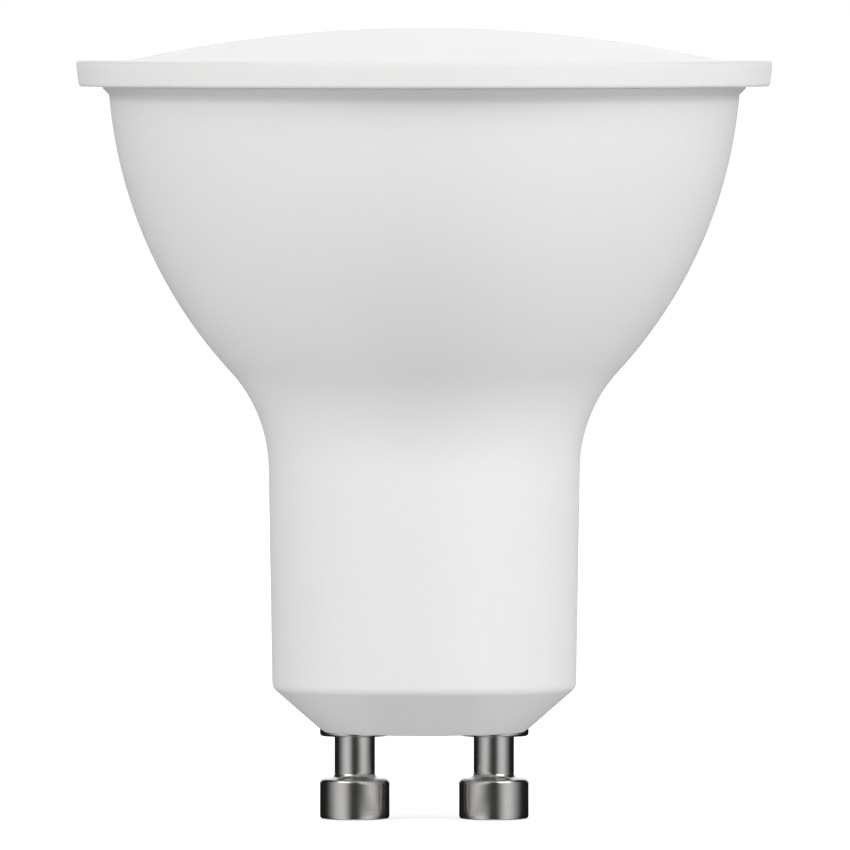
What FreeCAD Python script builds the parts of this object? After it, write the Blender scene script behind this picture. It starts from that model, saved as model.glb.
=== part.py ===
"""A GU10 LED spotlight lamp, built from the pieces that it comes apart into on a bench.

A moulded plastic housing (bowl, neck and bevelled base in one) carries two turned contact pins.
A pressed aluminium heat sink nests in the bowl with the LED board on its flat top, the driver
board stands in the neck, and a milky cover with a flange snaps into the mouth.
The lamp stands on its pins: the origin is on the axis at the pins' ends, +Z is towards the cover,
and the pins lie along X. Lengths are millimetres.
"""

import FreeCAD, Part
import math
import os
import types

import Sketcher

# Every driving dimension: its name, its value and what it measures
SIZES = [
    # Contact pins
    ("pin_spacing", 10.0, "distance between the two pin axes"),
    ("pin_head_diameter", 5.0, "diameter of the locking head"),
    ("pin_head_height", 2.95, "height of the locking head"),
    ("pin_stem_diameter", 2.9, "diameter of the stem between head and collar"),
    ("pin_reach", 6.3, "from the base's flat to the pin's end"),
    ("pin_collar_diameter", 5.0, "diameter of the collar at the base"),
    ("pin_collar_height", 0.8, "height of the collar"),
    ("pin_collar_proud", 0.3, "how far the collar stands out of the base's flat"),
    ("pin_collar_gap", 0.15, "radial gap round the collar in its recess"),
    ("pin_shank_diameter", 3.2, "diameter of the shank pressed into the base"),
    ("pin_fit", 0.02, "radial gap of the shank in its hole"),
    ("pin_tail", 1.4, "length of the hollow tail above its boss"),
    ("pin_bore_diameter", 1.3, "bore that takes the input lead"),
    ("pin_bore_depth", 3.2, "depth of that bore"),
    ("pin_edge_radius", 0.3, "rounding of the head's two edges"),
    ("pin_root_radius", 0.25, "rounding where the stem meets the head"),
    ("pin_collar_radius", 0.22, "rounding of the collar's lower edge"),
    # Housing
    ("collar_overhang", 0.25, "how far the collars reach past the base's flat"),
    ("base_bevel_height", 3.2, "height of the bevel above the flat"),
    ("neck_foot_diameter", 21.86, "neck where it meets the bevel"),
    ("neck_draft", 0.28, "how much the neck's radius grows towards the flare"),
    ("neck_height", 15.9, "from the bevel to the flare"),
    ("flare_radius", 10.3, "hollow curve between neck and bowl"),
    ("bowl_radius", 33.3, "full curve of the bowl"),
    ("mouth_diameter", 45.3, "bowl where it meets the lip"),
    ("lip_height", 0.6, "height of the flared lip"),
    ("lip_flare", 0.6, "how far the lip flares out"),
    ("housing_wall", 1.3, "wall of the housing"),
    ("floor_thickness", 2.0, "base between the flat and the inside"),
    ("boss_diameter", 5.4, "boss round each pin's shank"),
    ("boss_height", 1.8, "height of that boss above the floor"),
    ("bevel_edge_radius", 0.8, "rounding between bevel and neck"),
    ("flat_edge_radius", 0.4, "rounding between bevel and flat"),
    # Snap joint between cover and housing
    ("groove_drop", 1.4, "from the mouth down to the catch groove"),
    ("groove_height", 1.2, "height of the catch groove"),
    ("groove_depth", 0.45, "depth of the catch groove"),
    ("hook_count", 4.0, "hooks round the skirt"),
    ("hook_angle", 18.0, "arc of each hook, in degrees"),
    ("hook_gap", 0.12, "gap round a hook in the groove"),
    # Cover
    ("flange_overhang", 1.8, "how far the flange reaches past the lip"),
    ("rim_width", 3.65, "from the dome's foot to the flange's edge"),
    ("flange_height", 1.88, "height of the flange"),
    ("flange_draft", 0.2, "how far the flange narrows downwards"),
    ("flange_edge_radius", 0.25, "rounding of the flange's edges"),
    ("dome_rise", 2.35, "height of the dome above the flange"),
    ("dome_root_radius", 6.5, "hollow curve from the dome to the flange's flat ring"),
    ("cover_wall", 1.5, "wall of the dome"),
    ("skirt_wall", 1.4, "wall of the skirt"),
    ("skirt_gap", 0.2, "gap between skirt and bowl"),
    ("skirt_seat_gap", 0.05, "gap between skirt and LED board"),
    ("slot_count", 8.0, "slots that free the skirt's tabs"),
    ("slot_width", 1.0, "width of each slot"),
    ("slot_root", 1.0, "skirt left whole below the flange"),
    # Heat sink and light engine
    ("light_depth", 5.7, "from the mouth down to the heat sink's top"),
    ("heat_sheet", 0.9, "thickness of the heat sink's sheet"),
    ("heat_fit", 0.05, "gap between heat sink and housing"),
    ("heat_skirt", 10.0, "height of the heat sink's side"),
    ("heat_bend_radius", 0.6, "inner radius of the bend round the top"),
    ("heat_opening_gap", 0.5, "gap between the output pins and the edge of their opening"),
    ("led_board_thickness", 1.0, "LED board"),
    ("led_board_overlap", 0.5, "ring of the LED board held down by the skirt"),
    ("led_count", 8.0, "LEDs in the ring"),
    ("led_ring_inset", 7.1, "from the LED board's edge to the LEDs' centres"),
    ("led_length", 3.5, "LED package, along the radius"),
    ("led_width", 2.8, "LED package, across the radius"),
    ("led_height", 0.8, "LED package, off the board"),
    ("led_window_diameter", 2.2, "light window of the LED"),
    ("led_window_depth", 0.1, "depth of that window"),
    ("led_corner", 0.5, "cut corner that marks the LED's cathode"),
    # Driver board and its guides
    ("driver_thickness", 1.2, "driver board"),
    ("driver_offset", 2.0, "from the lamp's axis to the board's front face"),
    ("driver_lift", 6.7, "from the base's flat to the board's foot"),
    ("driver_top_gap", 2.6, "gap between the board's top and the heat sink"),
    ("driver_margin", 0.3, "board above the transformer"),
    ("shoulder_rise", 5.6, "from the flare's start to the foot of the board's shoulder"),
    ("driver_shoulder", 4.3, "height of the board's sloping shoulder"),
    ("driver_side_gap", 0.25, "gap between the board's edge and the neck"),
    ("driver_bowl_gap", 1.2, "gap between the board's shoulder and the bowl"),
    ("guide_grip", 0.6, "how far the guides reach over the board"),
    ("guide_wall", 0.9, "wall of each guide"),
    ("guide_gap", 0.1, "gap between guide and board"),
    ("guide_height", 11.0, "height of the guides above the board's foot"),
    ("lead_hole_gap", 0.1, "radial gap of a lead in its hole"),
    ("lead_stub", 0.8, "length of a lead behind the board"),
    ("standoff", 0.2, "gap between a standing component and the board"),
    ("part_gap", 0.5, "gap between neighbouring components on the front"),
    ("back_gap", 0.4, "gap between a lead's stub and a package on the back"),
    ("back_row_gap", 1.2, "the same, where there is room"),
    ("wall_gap", 0.7, "gap between the components and the neck's wall"),
    # Leads and output pins
    ("input_lead_diameter", 0.9, "lead from a contact pin to the board"),
    ("input_lead_up", 2.0, "where the lead enters the board, above its foot"),
    ("input_row_gap", 1.0, "from that lead's hole to the input capacitor's holes"),
    ("input_lead_bend", 1.3, "bend radius of the lead"),
    ("input_lead_insertion", 2.4, "length of the lead inside the pin's bore"),
    ("output_pin_diameter", 0.8, "pin between driver board and LED board"),
    ("output_pin_spacing", 4.0, "distance between the output pins"),
    ("output_pin_overlap", 3.5, "length of the pin soldered to the board"),
    ("output_pin_proud", 1.0, "how far the pin stands above the LED board"),
    # Input capacitor, which lies along the board
    ("input_cap_diameter", 8.0, "can"),
    ("input_cap_length", 12.0, "can"),
    ("input_cap_pitch", 3.5, "distance between its leads"),
    ("input_cap_lead_diameter", 0.5, "its leads"),
    ("input_cap_lead_run", 1.2, "from the can to the lead's hole"),
    ("lead_bend", 0.7, "bend radius of component leads"),
    ("crimp_depth", 0.35, "depth of the crimped groove round a can"),
    ("crimp_up", 1.6, "from the can's foot to that groove"),
    # Film capacitor
    ("film_cap_length", 9.0, "along the board"),
    ("film_cap_width", 4.5, "across the board"),
    ("film_cap_height", 7.5, "off the board"),
    ("film_cap_pitch", 5.0, "distance between its leads"),
    ("film_cap_lead_diameter", 0.6, "its leads"),
    ("film_cap_radius", 0.6, "rounded edges"),
    # Fusible resistor, which lies across the board
    ("fuse_x", 2.8, "across the board"),
    ("fuse_rise", 1.2, "from the input capacitor's top to the middle of the body"),
    ("fuse_diameter", 2.6, "body"),
    ("fuse_length", 6.5, "body"),
    ("fuse_cap", 1.3, "length of each end cap"),
    ("fuse_lead_diameter", 0.5, "its leads"),
    ("fuse_lead_run", 1.1, "from the body to the lead's hole"),
    # Choke
    ("choke_diameter", 6.0, "flanges of the drum core"),
    ("choke_height", 6.5, "drum core"),
    ("choke_flange", 0.9, "thickness of each flange"),
    ("choke_waist_diameter", 2.8, "middle of the drum core"),
    ("choke_winding_diameter", 5.4, "outside of the winding"),
    ("choke_pitch", 3.0, "distance between its leads"),
    ("choke_lead_diameter", 0.6, "its leads"),
    # Output capacitor
    ("output_cap_diameter", 6.3, "can"),
    ("output_cap_height", 8.0, "can"),
    ("output_cap_pitch", 2.5, "distance between its leads"),
    ("output_cap_lead_diameter", 0.5, "its leads"),
    # Transformer
    ("transformer_x", 0.9, "across the board"),
    ("core_width", 10.2, "across the core's legs"),
    ("core_length", 11.0, "both halves together"),
    ("core_thickness", 4.75, "core, off the board"),
    ("core_back", 1.3, "back of each half"),
    ("core_outer_leg", 1.25, "width of each outer leg"),
    ("core_middle_leg", 2.45, "width of the middle leg"),
    ("core_lift", 2.3, "from the board to the core"),
    ("core_gap", 0.1, "gap between bobbin and core"),
    ("bobbin_wall", 0.6, "wall of the bobbin"),
    ("rail_margin", 0.5, "rail beyond the transformer's pins"),
    ("pin_gap", 1.1, "gap between the transformer's pins and the output pins"),
    ("bobbin_flange_proud", 1.5, "how far its flanges pass the core's faces"),
    ("winding_inset", 0.3, "winding inside the bobbin's flanges"),
    ("winding_radius", 1.0, "rounded corners of the winding"),
    ("transformer_pin_diameter", 0.6, "its pins"),
    # Parts on the board's back
    ("package_leg_thickness", 0.25, "legs of the moulded packages"),
    ("package_foot", 0.6, "length of a leg's foot"),
    ("package_lift", 0.12, "gap between package and board"),
    ("bridge_length", 4.7, "bridge rectifier, along its legs' row"),
    ("bridge_width", 3.9, "bridge rectifier, between the legs"),
    ("bridge_height", 2.4, "bridge rectifier, off the board"),
    ("bridge_legs", 2.0, "legs in each row"),
    ("bridge_pitch", 2.54, "distance between its legs"),
    ("bridge_leg_width", 0.65, "its legs"),
    ("chip_length", 4.9, "driver chip, along its legs' row"),
    ("chip_width", 3.9, "driver chip, between the legs"),
    ("chip_height", 1.5, "driver chip, off the board"),
    ("chip_legs", 4.0, "legs in each row"),
    ("chip_pitch", 1.27, "distance between its legs"),
    ("chip_leg_width", 0.4, "its legs"),
    ("diode_length", 2.6, "output diode, along its legs' row"),
    ("diode_width", 4.3, "output diode, between the legs"),
    ("diode_height", 2.1, "output diode, off the board"),
    ("diode_legs", 1.0, "legs in each row"),
    ("diode_leg_width", 1.4, "its legs"),
    ("resistor_length", 3.2, "chip resistor"),
    ("resistor_width", 1.6, "chip resistor"),
    ("resistor_height", 0.6, "chip resistor"),
    ("resistor_cap", 0.45, "metal end of a chip resistor"),
    ("resistor_cap_proud", 0.05, "how far that end stands proud"),
]

FRONT = 1
BACK = -1
FULL_TURN = 360.0
PARALLEL = 0.999
CLOSE = 1e-3
Y_AXIS = FreeCAD.Vector(0, 1, 0)
Z_AXIS = FreeCAD.Vector(0, 0, 1)


class Size:
    """A number with the formula that gives it, so that plain arithmetic on sizes stays bound to them."""

    def __init__(self, number, formula):
        self.number = number
        self.formula = formula

    def __add__(self, other):
        other = as_size(other)
        return Size(self.number + other.number, f"({self.formula} + {other.formula})")

    def __sub__(self, other):
        other = as_size(other)
        return Size(self.number - other.number, f"({self.formula} - {other.formula})")

    def __mul__(self, other):
        other = as_size(other)
        return Size(self.number * other.number, f"({self.formula} * {other.formula})")

    def __truediv__(self, other):
        other = as_size(other)
        return Size(self.number / other.number, f"({self.formula} / {other.formula})")

    def __radd__(self, other):
        return as_size(other) + self

    def __rsub__(self, other):
        return as_size(other) - self

    def __rmul__(self, other):
        return as_size(other) * self

    def __rtruediv__(self, other):
        return as_size(other) / self

    def __neg__(self):
        return Size(-self.number, f"(0 - {self.formula})")


def as_size(value):
    """A plain number as a Size, and a Size as itself."""
    return value if isinstance(value, Size) else Size(float(value), f"({float(value)!r})")


def root(size):
    """Square root of a Size."""
    return Size(math.sqrt(size.number), f"sqrt({size.formula})")


def hypotenuse(a, b):
    return root(a * a + b * b)


def leg(long_side, short_side):
    """The other short side of a right-angled triangle."""
    return root(long_side * long_side - short_side * short_side)


def make_sheet(doc):
    """Writes down the driving dimensions and gives them back as Sizes under their names."""
    sheet = doc.addObject("Spreadsheet::Sheet", "Sizes")
    for row, (alias, value, meaning) in enumerate(SIZES, start=1):
        sheet.set(f"A{row}", alias)
        sheet.set(f"B{row}", str(value))
        sheet.set(f"C{row}", meaning)
        sheet.setAlias(f"B{row}", alias)
    doc.recompute()
    return types.SimpleNamespace(**{a: Size(v, f"Sizes.{a}") for a, v, _ in SIZES})


doc = FreeCAD.newDocument("gu10_spotlight")
s = make_sheet(doc)
pieces = []


# Helpers for sketches


def point(x, y):
    return FreeCAD.Vector(as_size(x).number, as_size(y).number, 0)


def tie(sketch, kind, *where, size):
    """Adds one dimension to the sketch and binds it to its size."""
    size = as_size(size)
    index = sketch.addConstraint(Sketcher.Constraint(kind, *where, size.number))
    sketch.setExpression(f"Constraints[{index}]", size.formula)
    return index


def tie_point(sketch, curve, end, x, y):
    """Fixes one end of a curve, or a centre, at (x, y)."""
    for kind, axis, value in (("DistanceX", -2, x), ("DistanceY", -1, y)):
        if as_size(value).number == 0:
            sketch.addConstraint(Sketcher.Constraint("PointOnObject", curve, end, axis))
        else:
            tie(sketch, kind, -1, 1, curve, end, size=value)


def join(sketch, kind, first, first_end, second, second_end):
    sketch.addConstraint(Sketcher.Constraint(kind, first, first_end, second, second_end))


def polygon(sketch, corners):
    """A closed outline of straight lines, each corner tied to its sizes."""
    count = len(corners)
    start = sketch.GeometryCount
    for i in range(count):
        a, b = corners[i], corners[(i + 1) % count]
        sketch.addGeometry(Part.LineSegment(point(*a), point(*b)))
    for i in range(count):
        join(sketch, "Coincident", start + i, 2, start + (i + 1) % count, 1)
        tie_point(sketch, start + i, 1, *corners[i])


def rectangle(sketch, x, y, width, height):
    """A rectangle round the centre (x, y)."""
    left, right = x - width / 2, x + width / 2
    low, high = y - height / 2, y + height / 2
    polygon(sketch, [(left, low), (right, low), (right, high), (left, high)])


def circle(sketch, x, y, radius):
    radius = as_size(radius)
    curve = sketch.addGeometry(Part.Circle(point(x, y), FreeCAD.Vector(0, 0, 1), radius.number))
    tie_point(sketch, curve, 3, x, y)
    tie(sketch, "Radius", curve, size=radius)


def arc(sketch, centre, start, end):
    """An arc that runs anticlockwise from start to end. All three are vectors, and nothing is tied."""
    a, b = start - centre, end - centre
    full = Part.Circle(centre, FreeCAD.Vector(0, 0, 1), a.Length)
    return sketch.addGeometry(Part.ArcOfCircle(full, math.atan2(a.y, a.x), math.atan2(b.y, b.x)))


def elbow(sketch, start, end, radius, first):
    """A wire's path with one square bend. first says whether it leaves the start Vertical or Horizontal."""
    a, b, r = point(*start), point(*end), radius.number
    corner = FreeCAD.Vector(a.x, b.y, 0) if first == "Vertical" else FreeCAD.Vector(b.x, a.y, 0)
    to_start = (a - corner).normalize() * r
    to_end = (b - corner).normalize() * r
    leaves, arrives = corner + to_start, corner + to_end
    centre = leaves + to_end
    first_run = sketch.addGeometry(Part.LineSegment(a, leaves))
    turns_left = to_start.cross(to_end).z < 0
    bend = arc(sketch, centre, leaves, arrives) if turns_left else arc(sketch, centre, arrives, leaves)
    last_run = sketch.addGeometry(Part.LineSegment(arrives, b))
    tie_point(sketch, first_run, 1, *start)
    tie_point(sketch, last_run, 2, *end)
    sketch.addConstraint(Sketcher.Constraint(first, first_run))
    sketch.addConstraint(Sketcher.Constraint("Horizontal" if first == "Vertical" else "Vertical", last_run))
    join(sketch, "Tangent", first_run, 2, bend, 1 if turns_left else 2)
    join(sketch, "Tangent", last_run, 1, bend, 2 if turns_left else 1)
    tie(sketch, "Radius", bend, size=radius)


# Helpers for bodies


def new_body(label):
    body = doc.addObject("PartDesign::Body", label)
    body.Label = label
    pieces.append(body)
    return body


def origin_part(body, role):
    return [part for part in body.Origin.OriginFeatures if part.Role == role][0]


def new_sketch(body, plane, turned=0, **shift):
    """A sketch on one of the body's own planes, turned about its z and shifted along its x, y or z."""
    sketch = body.newObject("Sketcher::SketchObject", f"{body.Name}_{plane[:2]}")
    sketch.AttachmentSupport = [(origin_part(body, plane), "")]
    sketch.MapMode = "FlatFace"
    if turned:
        sketch.AttachmentOffset = FreeCAD.Placement(FreeCAD.Vector(), Z_AXIS, turned.number)
        sketch.setExpression("AttachmentOffset.Rotation.Angle", turned.formula)
    for axis, value in shift.items():
        sketch.setExpression(f"AttachmentOffset.Base.{axis}", as_size(value).formula)
    return sketch


def extrude(body, sketch, kind, length, reverse=False, both_ways=False):
    """A Pad or a Pocket."""
    feature = body.newObject(f"PartDesign::{kind}", f"{body.Name}_{kind}")
    feature.Profile = sketch
    feature.Reversed = reverse
    feature.Midplane = both_ways
    feature.setExpression("Length", as_size(length).formula)
    doc.recompute()
    return feature


def turn(body, sketch, kind="Revolution", axis="V_Axis", angle=FULL_TURN):
    """A Revolution or a Groove about one of the sketch's own axes."""
    feature = body.newObject(f"PartDesign::{kind}", f"{body.Name}_{kind}")
    feature.Profile = sketch
    feature.ReferenceAxis = (sketch, [axis])
    feature.Midplane = True
    feature.setExpression("Angle", as_size(angle).formula)
    doc.recompute()
    return feature


def pipe(body, profile, path):
    """A wire of round section along a path."""
    feature = body.newObject("PartDesign::AdditivePipe", f"{body.Name}_Pipe")
    feature.Profile = profile
    feature.Spine = (path, [f"Edge{i + 1}" for i in range(path.GeometryCount)])
    doc.recompute()
    return feature


def repeat_round(body, feature, count):
    """Copies of a feature evenly round the body's Z axis."""
    pattern = body.newObject("PartDesign::PolarPattern", f"{body.Name}_round")
    pattern.Originals = [feature]
    pattern.Axis = (origin_part(body, "Z_Axis"), [""])
    pattern.Angle = FULL_TURN
    pattern.setExpression("Occurrences", count.formula)
    body.Tip = pattern
    doc.recompute()


def repeat_along_y(body, feature, count, pitch):
    """Copies of a feature in a row along the body's Y axis."""
    pattern = body.newObject("PartDesign::LinearPattern", f"{body.Name}_row")
    pattern.Originals = [feature]
    pattern.Direction = (origin_part(body, "Y_Axis"), [""])
    pattern.setExpression("Length", (pitch * (count - 1)).formula)
    pattern.setExpression("Occurrences", count.formula)
    body.Tip = pattern
    doc.recompute()


def mirror_across_x(body, feature):
    """A copy of a feature on the other side of the body's YZ plane."""
    mirrored = body.newObject("PartDesign::Mirrored", f"{body.Name}_mirrored")
    mirrored.Originals = [feature]
    mirrored.MirrorPlane = (origin_part(body, "YZ_Plane"), [""])
    body.Tip = mirrored
    doc.recompute()


def round_edges(body, radius, chosen):
    """Fillets the edges of the body's last feature that the test picks."""
    tip = body.Tip
    names = [f"Edge{i}" for i, edge in enumerate(tip.Shape.Edges, start=1) if chosen(edge)]
    feature = body.newObject("PartDesign::Fillet", f"{body.Name}_Fillet")
    feature.Base = (tip, names)
    feature.setExpression("Radius", as_size(radius).formula)
    doc.recompute()


def ring(radius, height):
    """A test for the circular edges round Z of one radius at one height."""
    radius, height = as_size(radius).number, as_size(height).number

    def is_ring(edge):
        if edge.Degenerated or not isinstance(edge.Curve, Part.Circle):
            return False
        curve = edge.Curve
        on_axis = abs(curve.Axis.z) > PARALLEL and math.hypot(curve.Center.x, curve.Center.y) < CLOSE
        return on_axis and abs(curve.Radius - radius) < CLOSE and abs(curve.Center.z - height) < CLOSE

    return is_ring


def along(direction):
    """A test for the straight edges along one direction."""

    def is_along(edge):
        straight = not edge.Degenerated and isinstance(edge.Curve, Part.Line)
        return straight and abs(edge.Curve.Direction.dot(direction)) > PARALLEL

    return is_along


def place(body, x=0, y=0, z=0, axis=(0, 0, 1), angle=0):
    """Puts a body in the lamp's frame, with its place bound to its sizes."""
    spot = [as_size(v) for v in (x, y, z)]
    turned = FreeCAD.Rotation(FreeCAD.Vector(*axis), as_size(angle).number)
    body.Placement = FreeCAD.Placement(FreeCAD.Vector(*[v.number for v in spot]), turned)
    for name, value in zip("xyz", spot):
        body.setExpression(f"Placement.Base.{name}", value.formula)


# Places along the driver board, from its foot upwards

input_row = s.input_lead_up + s.input_row_gap
input_cap_up = input_row + s.input_cap_lead_run + s.input_cap_length / 2
fuse_up = input_cap_up + s.input_cap_length / 2 + s.fuse_rise
fuse_foot = fuse_up - s.fuse_diameter / 2
film_cap_up = (s.input_lead_up + fuse_foot) / 2
transformer_up = fuse_up + s.fuse_diameter / 2 + s.part_gap + s.core_length / 2
transformer_row = s.core_length / 2 - s.core_back / 2
driver_height = transformer_up + s.core_length / 2 + s.driver_margin
bridge_up = input_row + s.input_cap_lead_diameter / 2 + s.back_gap + s.bridge_length / 2
lower_pins_foot = transformer_up - transformer_row - s.transformer_pin_diameter / 2
chip_up = lower_pins_foot - s.back_gap - s.chip_length / 2
diode_up = transformer_up - s.choke_lead_diameter / 2 - s.back_row_gap - s.diode_length / 2

# Levels and radii that several pieces share

seat_level = s.pin_reach
floor_level = seat_level + s.floor_thickness
neck_foot_level = seat_level + s.base_bevel_height
flare_level = neck_foot_level + s.neck_height
board_foot = seat_level + s.driver_lift
light_level = board_foot + driver_height + s.driver_top_gap + s.heat_sheet
led_level = light_level + s.led_board_thickness
mouth_level = light_level + s.light_depth
lip_level = mouth_level - s.lip_height
pin_offset = s.pin_spacing / 2
base_flat_radius = pin_offset + s.pin_collar_diameter / 2 - s.collar_overhang
neck_foot_radius = s.neck_foot_diameter / 2
neck_top_radius = neck_foot_radius + s.neck_draft
neck_bore_radius = neck_foot_radius - s.housing_wall
bevel_slope = (neck_foot_radius - base_flat_radius) / s.base_bevel_height
lip_edge_radius = s.mouth_diameter / 2 + s.lip_flare
flange_radius = lip_edge_radius + s.flange_overhang
board_back = s.driver_offset + s.driver_thickness
output_pin_y = board_back + s.output_pin_diameter / 2

# Places across the driver board

input_cap_radius = s.input_cap_diameter / 2
input_cap_reach = neck_bore_radius - s.wall_gap - input_cap_radius
input_cap_x = -leg(input_cap_reach, input_cap_radius + s.standoff - s.driver_offset)
film_cap_front = s.film_cap_height + s.standoff - s.driver_offset
film_cap_x = leg(neck_bore_radius - s.wall_gap, film_cap_front) - s.film_cap_width / 2
transformer_side = s.core_width / 2 + s.part_gap
choke_x = s.transformer_x - transformer_side - s.choke_diameter / 2
output_cap_x = s.transformer_x + transformer_side + s.output_cap_diameter / 2
pins_between = s.output_pin_diameter + s.transformer_pin_diameter + s.pin_gap * 2
transformer_pin_pitch = s.output_pin_spacing + pins_between


def curve_centres():
    """Where the centres of the flare and of the bowl come to lie, as plain vectors."""
    foot = point(neck_foot_radius, neck_foot_level)
    top = point(neck_top_radius, flare_level)
    lip = point(s.mouth_diameter / 2, lip_level)
    along = (top - foot).normalize()
    flare = top + FreeCAD.Vector(along.y, -along.x, 0) * s.flare_radius.number
    reach = s.flare_radius.number + s.bowl_radius.number
    span = lip - flare
    near = (reach**2 - s.bowl_radius.number**2 + span.Length**2) / (2 * span.Length)
    aside = math.sqrt(reach**2 - near**2)
    across = FreeCAD.Vector(-span.y, span.x, 0).normalize()
    return flare, flare + span.normalize() * near + across * aside


def housing_curve():
    """A sketch of the outside from neck to lip, which the housing, heat sink and cover all measure from."""
    sketch = doc.addObject("Sketcher::SketchObject", "HousingCurve")
    sketch.Placement = FreeCAD.Placement(FreeCAD.Vector(), FreeCAD.Rotation(FreeCAD.Vector(1, 0, 0), 90))
    foot = point(neck_foot_radius, neck_foot_level)
    top = point(neck_top_radius, flare_level)
    lip = point(s.mouth_diameter / 2, lip_level)
    flare_centre, bowl_centre = curve_centres()
    meeting = flare_centre + (bowl_centre - flare_centre).normalize() * s.flare_radius.number
    neck = sketch.addGeometry(Part.LineSegment(foot, top))
    flare = arc(sketch, flare_centre, meeting, top)
    bowl = arc(sketch, bowl_centre, meeting, lip)
    tie_point(sketch, neck, 1, neck_foot_radius, neck_foot_level)
    tie_point(sketch, neck, 2, neck_top_radius, flare_level)
    tie_point(sketch, bowl, 2, s.mouth_diameter / 2, lip_level)
    tie(sketch, "Radius", flare, size=s.flare_radius)
    tie(sketch, "Radius", bowl, size=s.bowl_radius)
    join(sketch, "Tangent", neck, 2, flare, 2)
    join(sketch, "Tangent", flare, 1, bowl, 1)
    doc.recompute()
    centres = {}
    for name, curve in (("flare", flare), ("bowl", bowl)):
        for axis, kind in (("x", "DistanceX"), ("z", "DistanceY")):
            centre = sketch.Geometry[curve].Center
            value = centre.x if axis == "x" else centre.y
            index = sketch.addConstraint(Sketcher.Constraint(kind, -1, 1, curve, 3, value))
            sketch.setDriving(index, False)
            sketch.renameConstraint(index, f"{name}_{axis}")
            centres[f"{name}_{axis}"] = Size(value, f"(HousingCurve.Constraints.{name}_{axis} / 1mm)")
    doc.recompute()
    return types.SimpleNamespace(**centres)


centre = housing_curve()


def bowl_radius_at(level, inset):
    """Radius from the lamp's axis to the bowl's curve at a level, moved inward by an inset."""
    return centre.bowl_x + leg(s.bowl_radius - inset, level - centre.bowl_z)


def neck_to_bowl(sketch, inset, foot, top_level):
    """The neck, flare and bowl in one smooth run, moved inward by an inset. Gives the curves' ids."""
    inset = as_size(inset)
    bowl_centre = point(centre.bowl_x, centre.bowl_z)
    flare_centre = point(centre.flare_x, centre.flare_z)
    towards = (bowl_centre - flare_centre).normalize()
    flare_reach = s.flare_radius.number + inset.number
    meeting = flare_centre + towards * flare_reach
    neck_end = point(neck_top_radius - inset, flare_level)
    top = point(bowl_radius_at(top_level, inset), top_level)
    neck = sketch.addGeometry(Part.LineSegment(point(*foot), neck_end))
    flare = arc(sketch, flare_centre, meeting, neck_end)
    bowl = arc(sketch, bowl_centre, meeting, top)
    tie_point(sketch, neck, 1, *foot)
    tie_point(sketch, flare, 3, centre.flare_x, centre.flare_z)
    tie_point(sketch, bowl, 3, centre.bowl_x, centre.bowl_z)
    tie(sketch, "Radius", bowl, size=s.bowl_radius - inset)
    tie(sketch, "DistanceY", -1, 1, bowl, 2, size=top_level)
    join(sketch, "Tangent", neck, 2, flare, 2)
    join(sketch, "Tangent", flare, 1, bowl, 1)
    return neck, flare, bowl


# Housing


def housing_profile(body):
    """Half the housing's section, to be turned about the lamp's axis."""
    sketch = new_sketch(body, "XZ_Plane")
    bevel_length = hypotenuse(neck_foot_radius - base_flat_radius, s.base_bevel_height)
    wall_across_bevel = s.housing_wall * bevel_length / s.base_bevel_height
    inner_foot_level = neck_foot_level + (wall_across_bevel - s.housing_wall) / bevel_slope
    inner_floor_radius = base_flat_radius + s.floor_thickness * bevel_slope - wall_across_bevel
    outer_foot = (neck_foot_radius, neck_foot_level)
    inner_foot = (neck_bore_radius, inner_foot_level)
    neck, _, bowl = neck_to_bowl(sketch, 0, outer_foot, lip_level)
    inner_neck, _, inner_bowl = neck_to_bowl(sketch, s.housing_wall, inner_foot, mouth_level)
    lip_root = point(s.mouth_diameter / 2, lip_level)
    lip_edge = (lip_edge_radius, mouth_level)
    bore_edge = point(bowl_radius_at(mouth_level, s.housing_wall), mouth_level)
    lip = sketch.addGeometry(Part.LineSegment(lip_root, point(*lip_edge)))
    rim = sketch.addGeometry(Part.LineSegment(point(*lip_edge), bore_edge))
    join(sketch, "Coincident", bowl, 2, lip, 1)
    join(sketch, "Coincident", lip, 2, rim, 1)
    join(sketch, "Coincident", rim, 2, inner_bowl, 2)
    tie_point(sketch, lip, 2, *lip_edge)
    base = [
        inner_foot,
        (inner_floor_radius, floor_level),
        (0, floor_level),
        (0, seat_level),
        (base_flat_radius, seat_level),
        outer_foot,
    ]
    lines = [
        sketch.addGeometry(Part.LineSegment(point(*a), point(*b))) for a, b in zip(base, base[1:])
    ]
    for line, corner in zip(lines[1:], base[1:]):
        join(sketch, "Coincident", line - 1, 2, line, 1)
        tie_point(sketch, line, 1, *corner)
    join(sketch, "Coincident", inner_neck, 1, lines[0], 1)
    join(sketch, "Coincident", neck, 1, lines[-1], 2)
    return sketch


def add_board_guides(body, board_half_width):
    """A channel on each side of the neck, which takes the driver board's edge and stops its foot."""
    inner = board_half_width - s.guide_grip
    wall_middle = neck_foot_radius - s.housing_wall / 2
    front = s.driver_offset - s.guide_gap
    back = board_back + s.guide_gap
    front_wall, back_wall = front - s.guide_wall, back + s.guide_wall
    slot_end = board_half_width + s.guide_gap
    guides = new_sketch(body, "XY_Plane", z=neck_foot_level)
    slots = new_sketch(body, "XY_Plane", z=board_foot)
    for side in (-1, 1):
        polygon(
            guides,
            [
                (side * inner, front_wall),
                (side * leg(wall_middle, front_wall), front_wall),
                (side * leg(wall_middle, back_wall), back_wall),
                (side * inner, back_wall),
            ],
        )
        polygon(
            slots,
            [
                (side * inner, front),
                (side * slot_end, front),
                (side * slot_end, back),
                (side * inner, back),
            ],
        )
    extrude(body, guides, "Pad", board_foot - neck_foot_level + s.guide_height)
    extrude(body, slots, "Pocket", s.guide_height, reverse=True)


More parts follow.
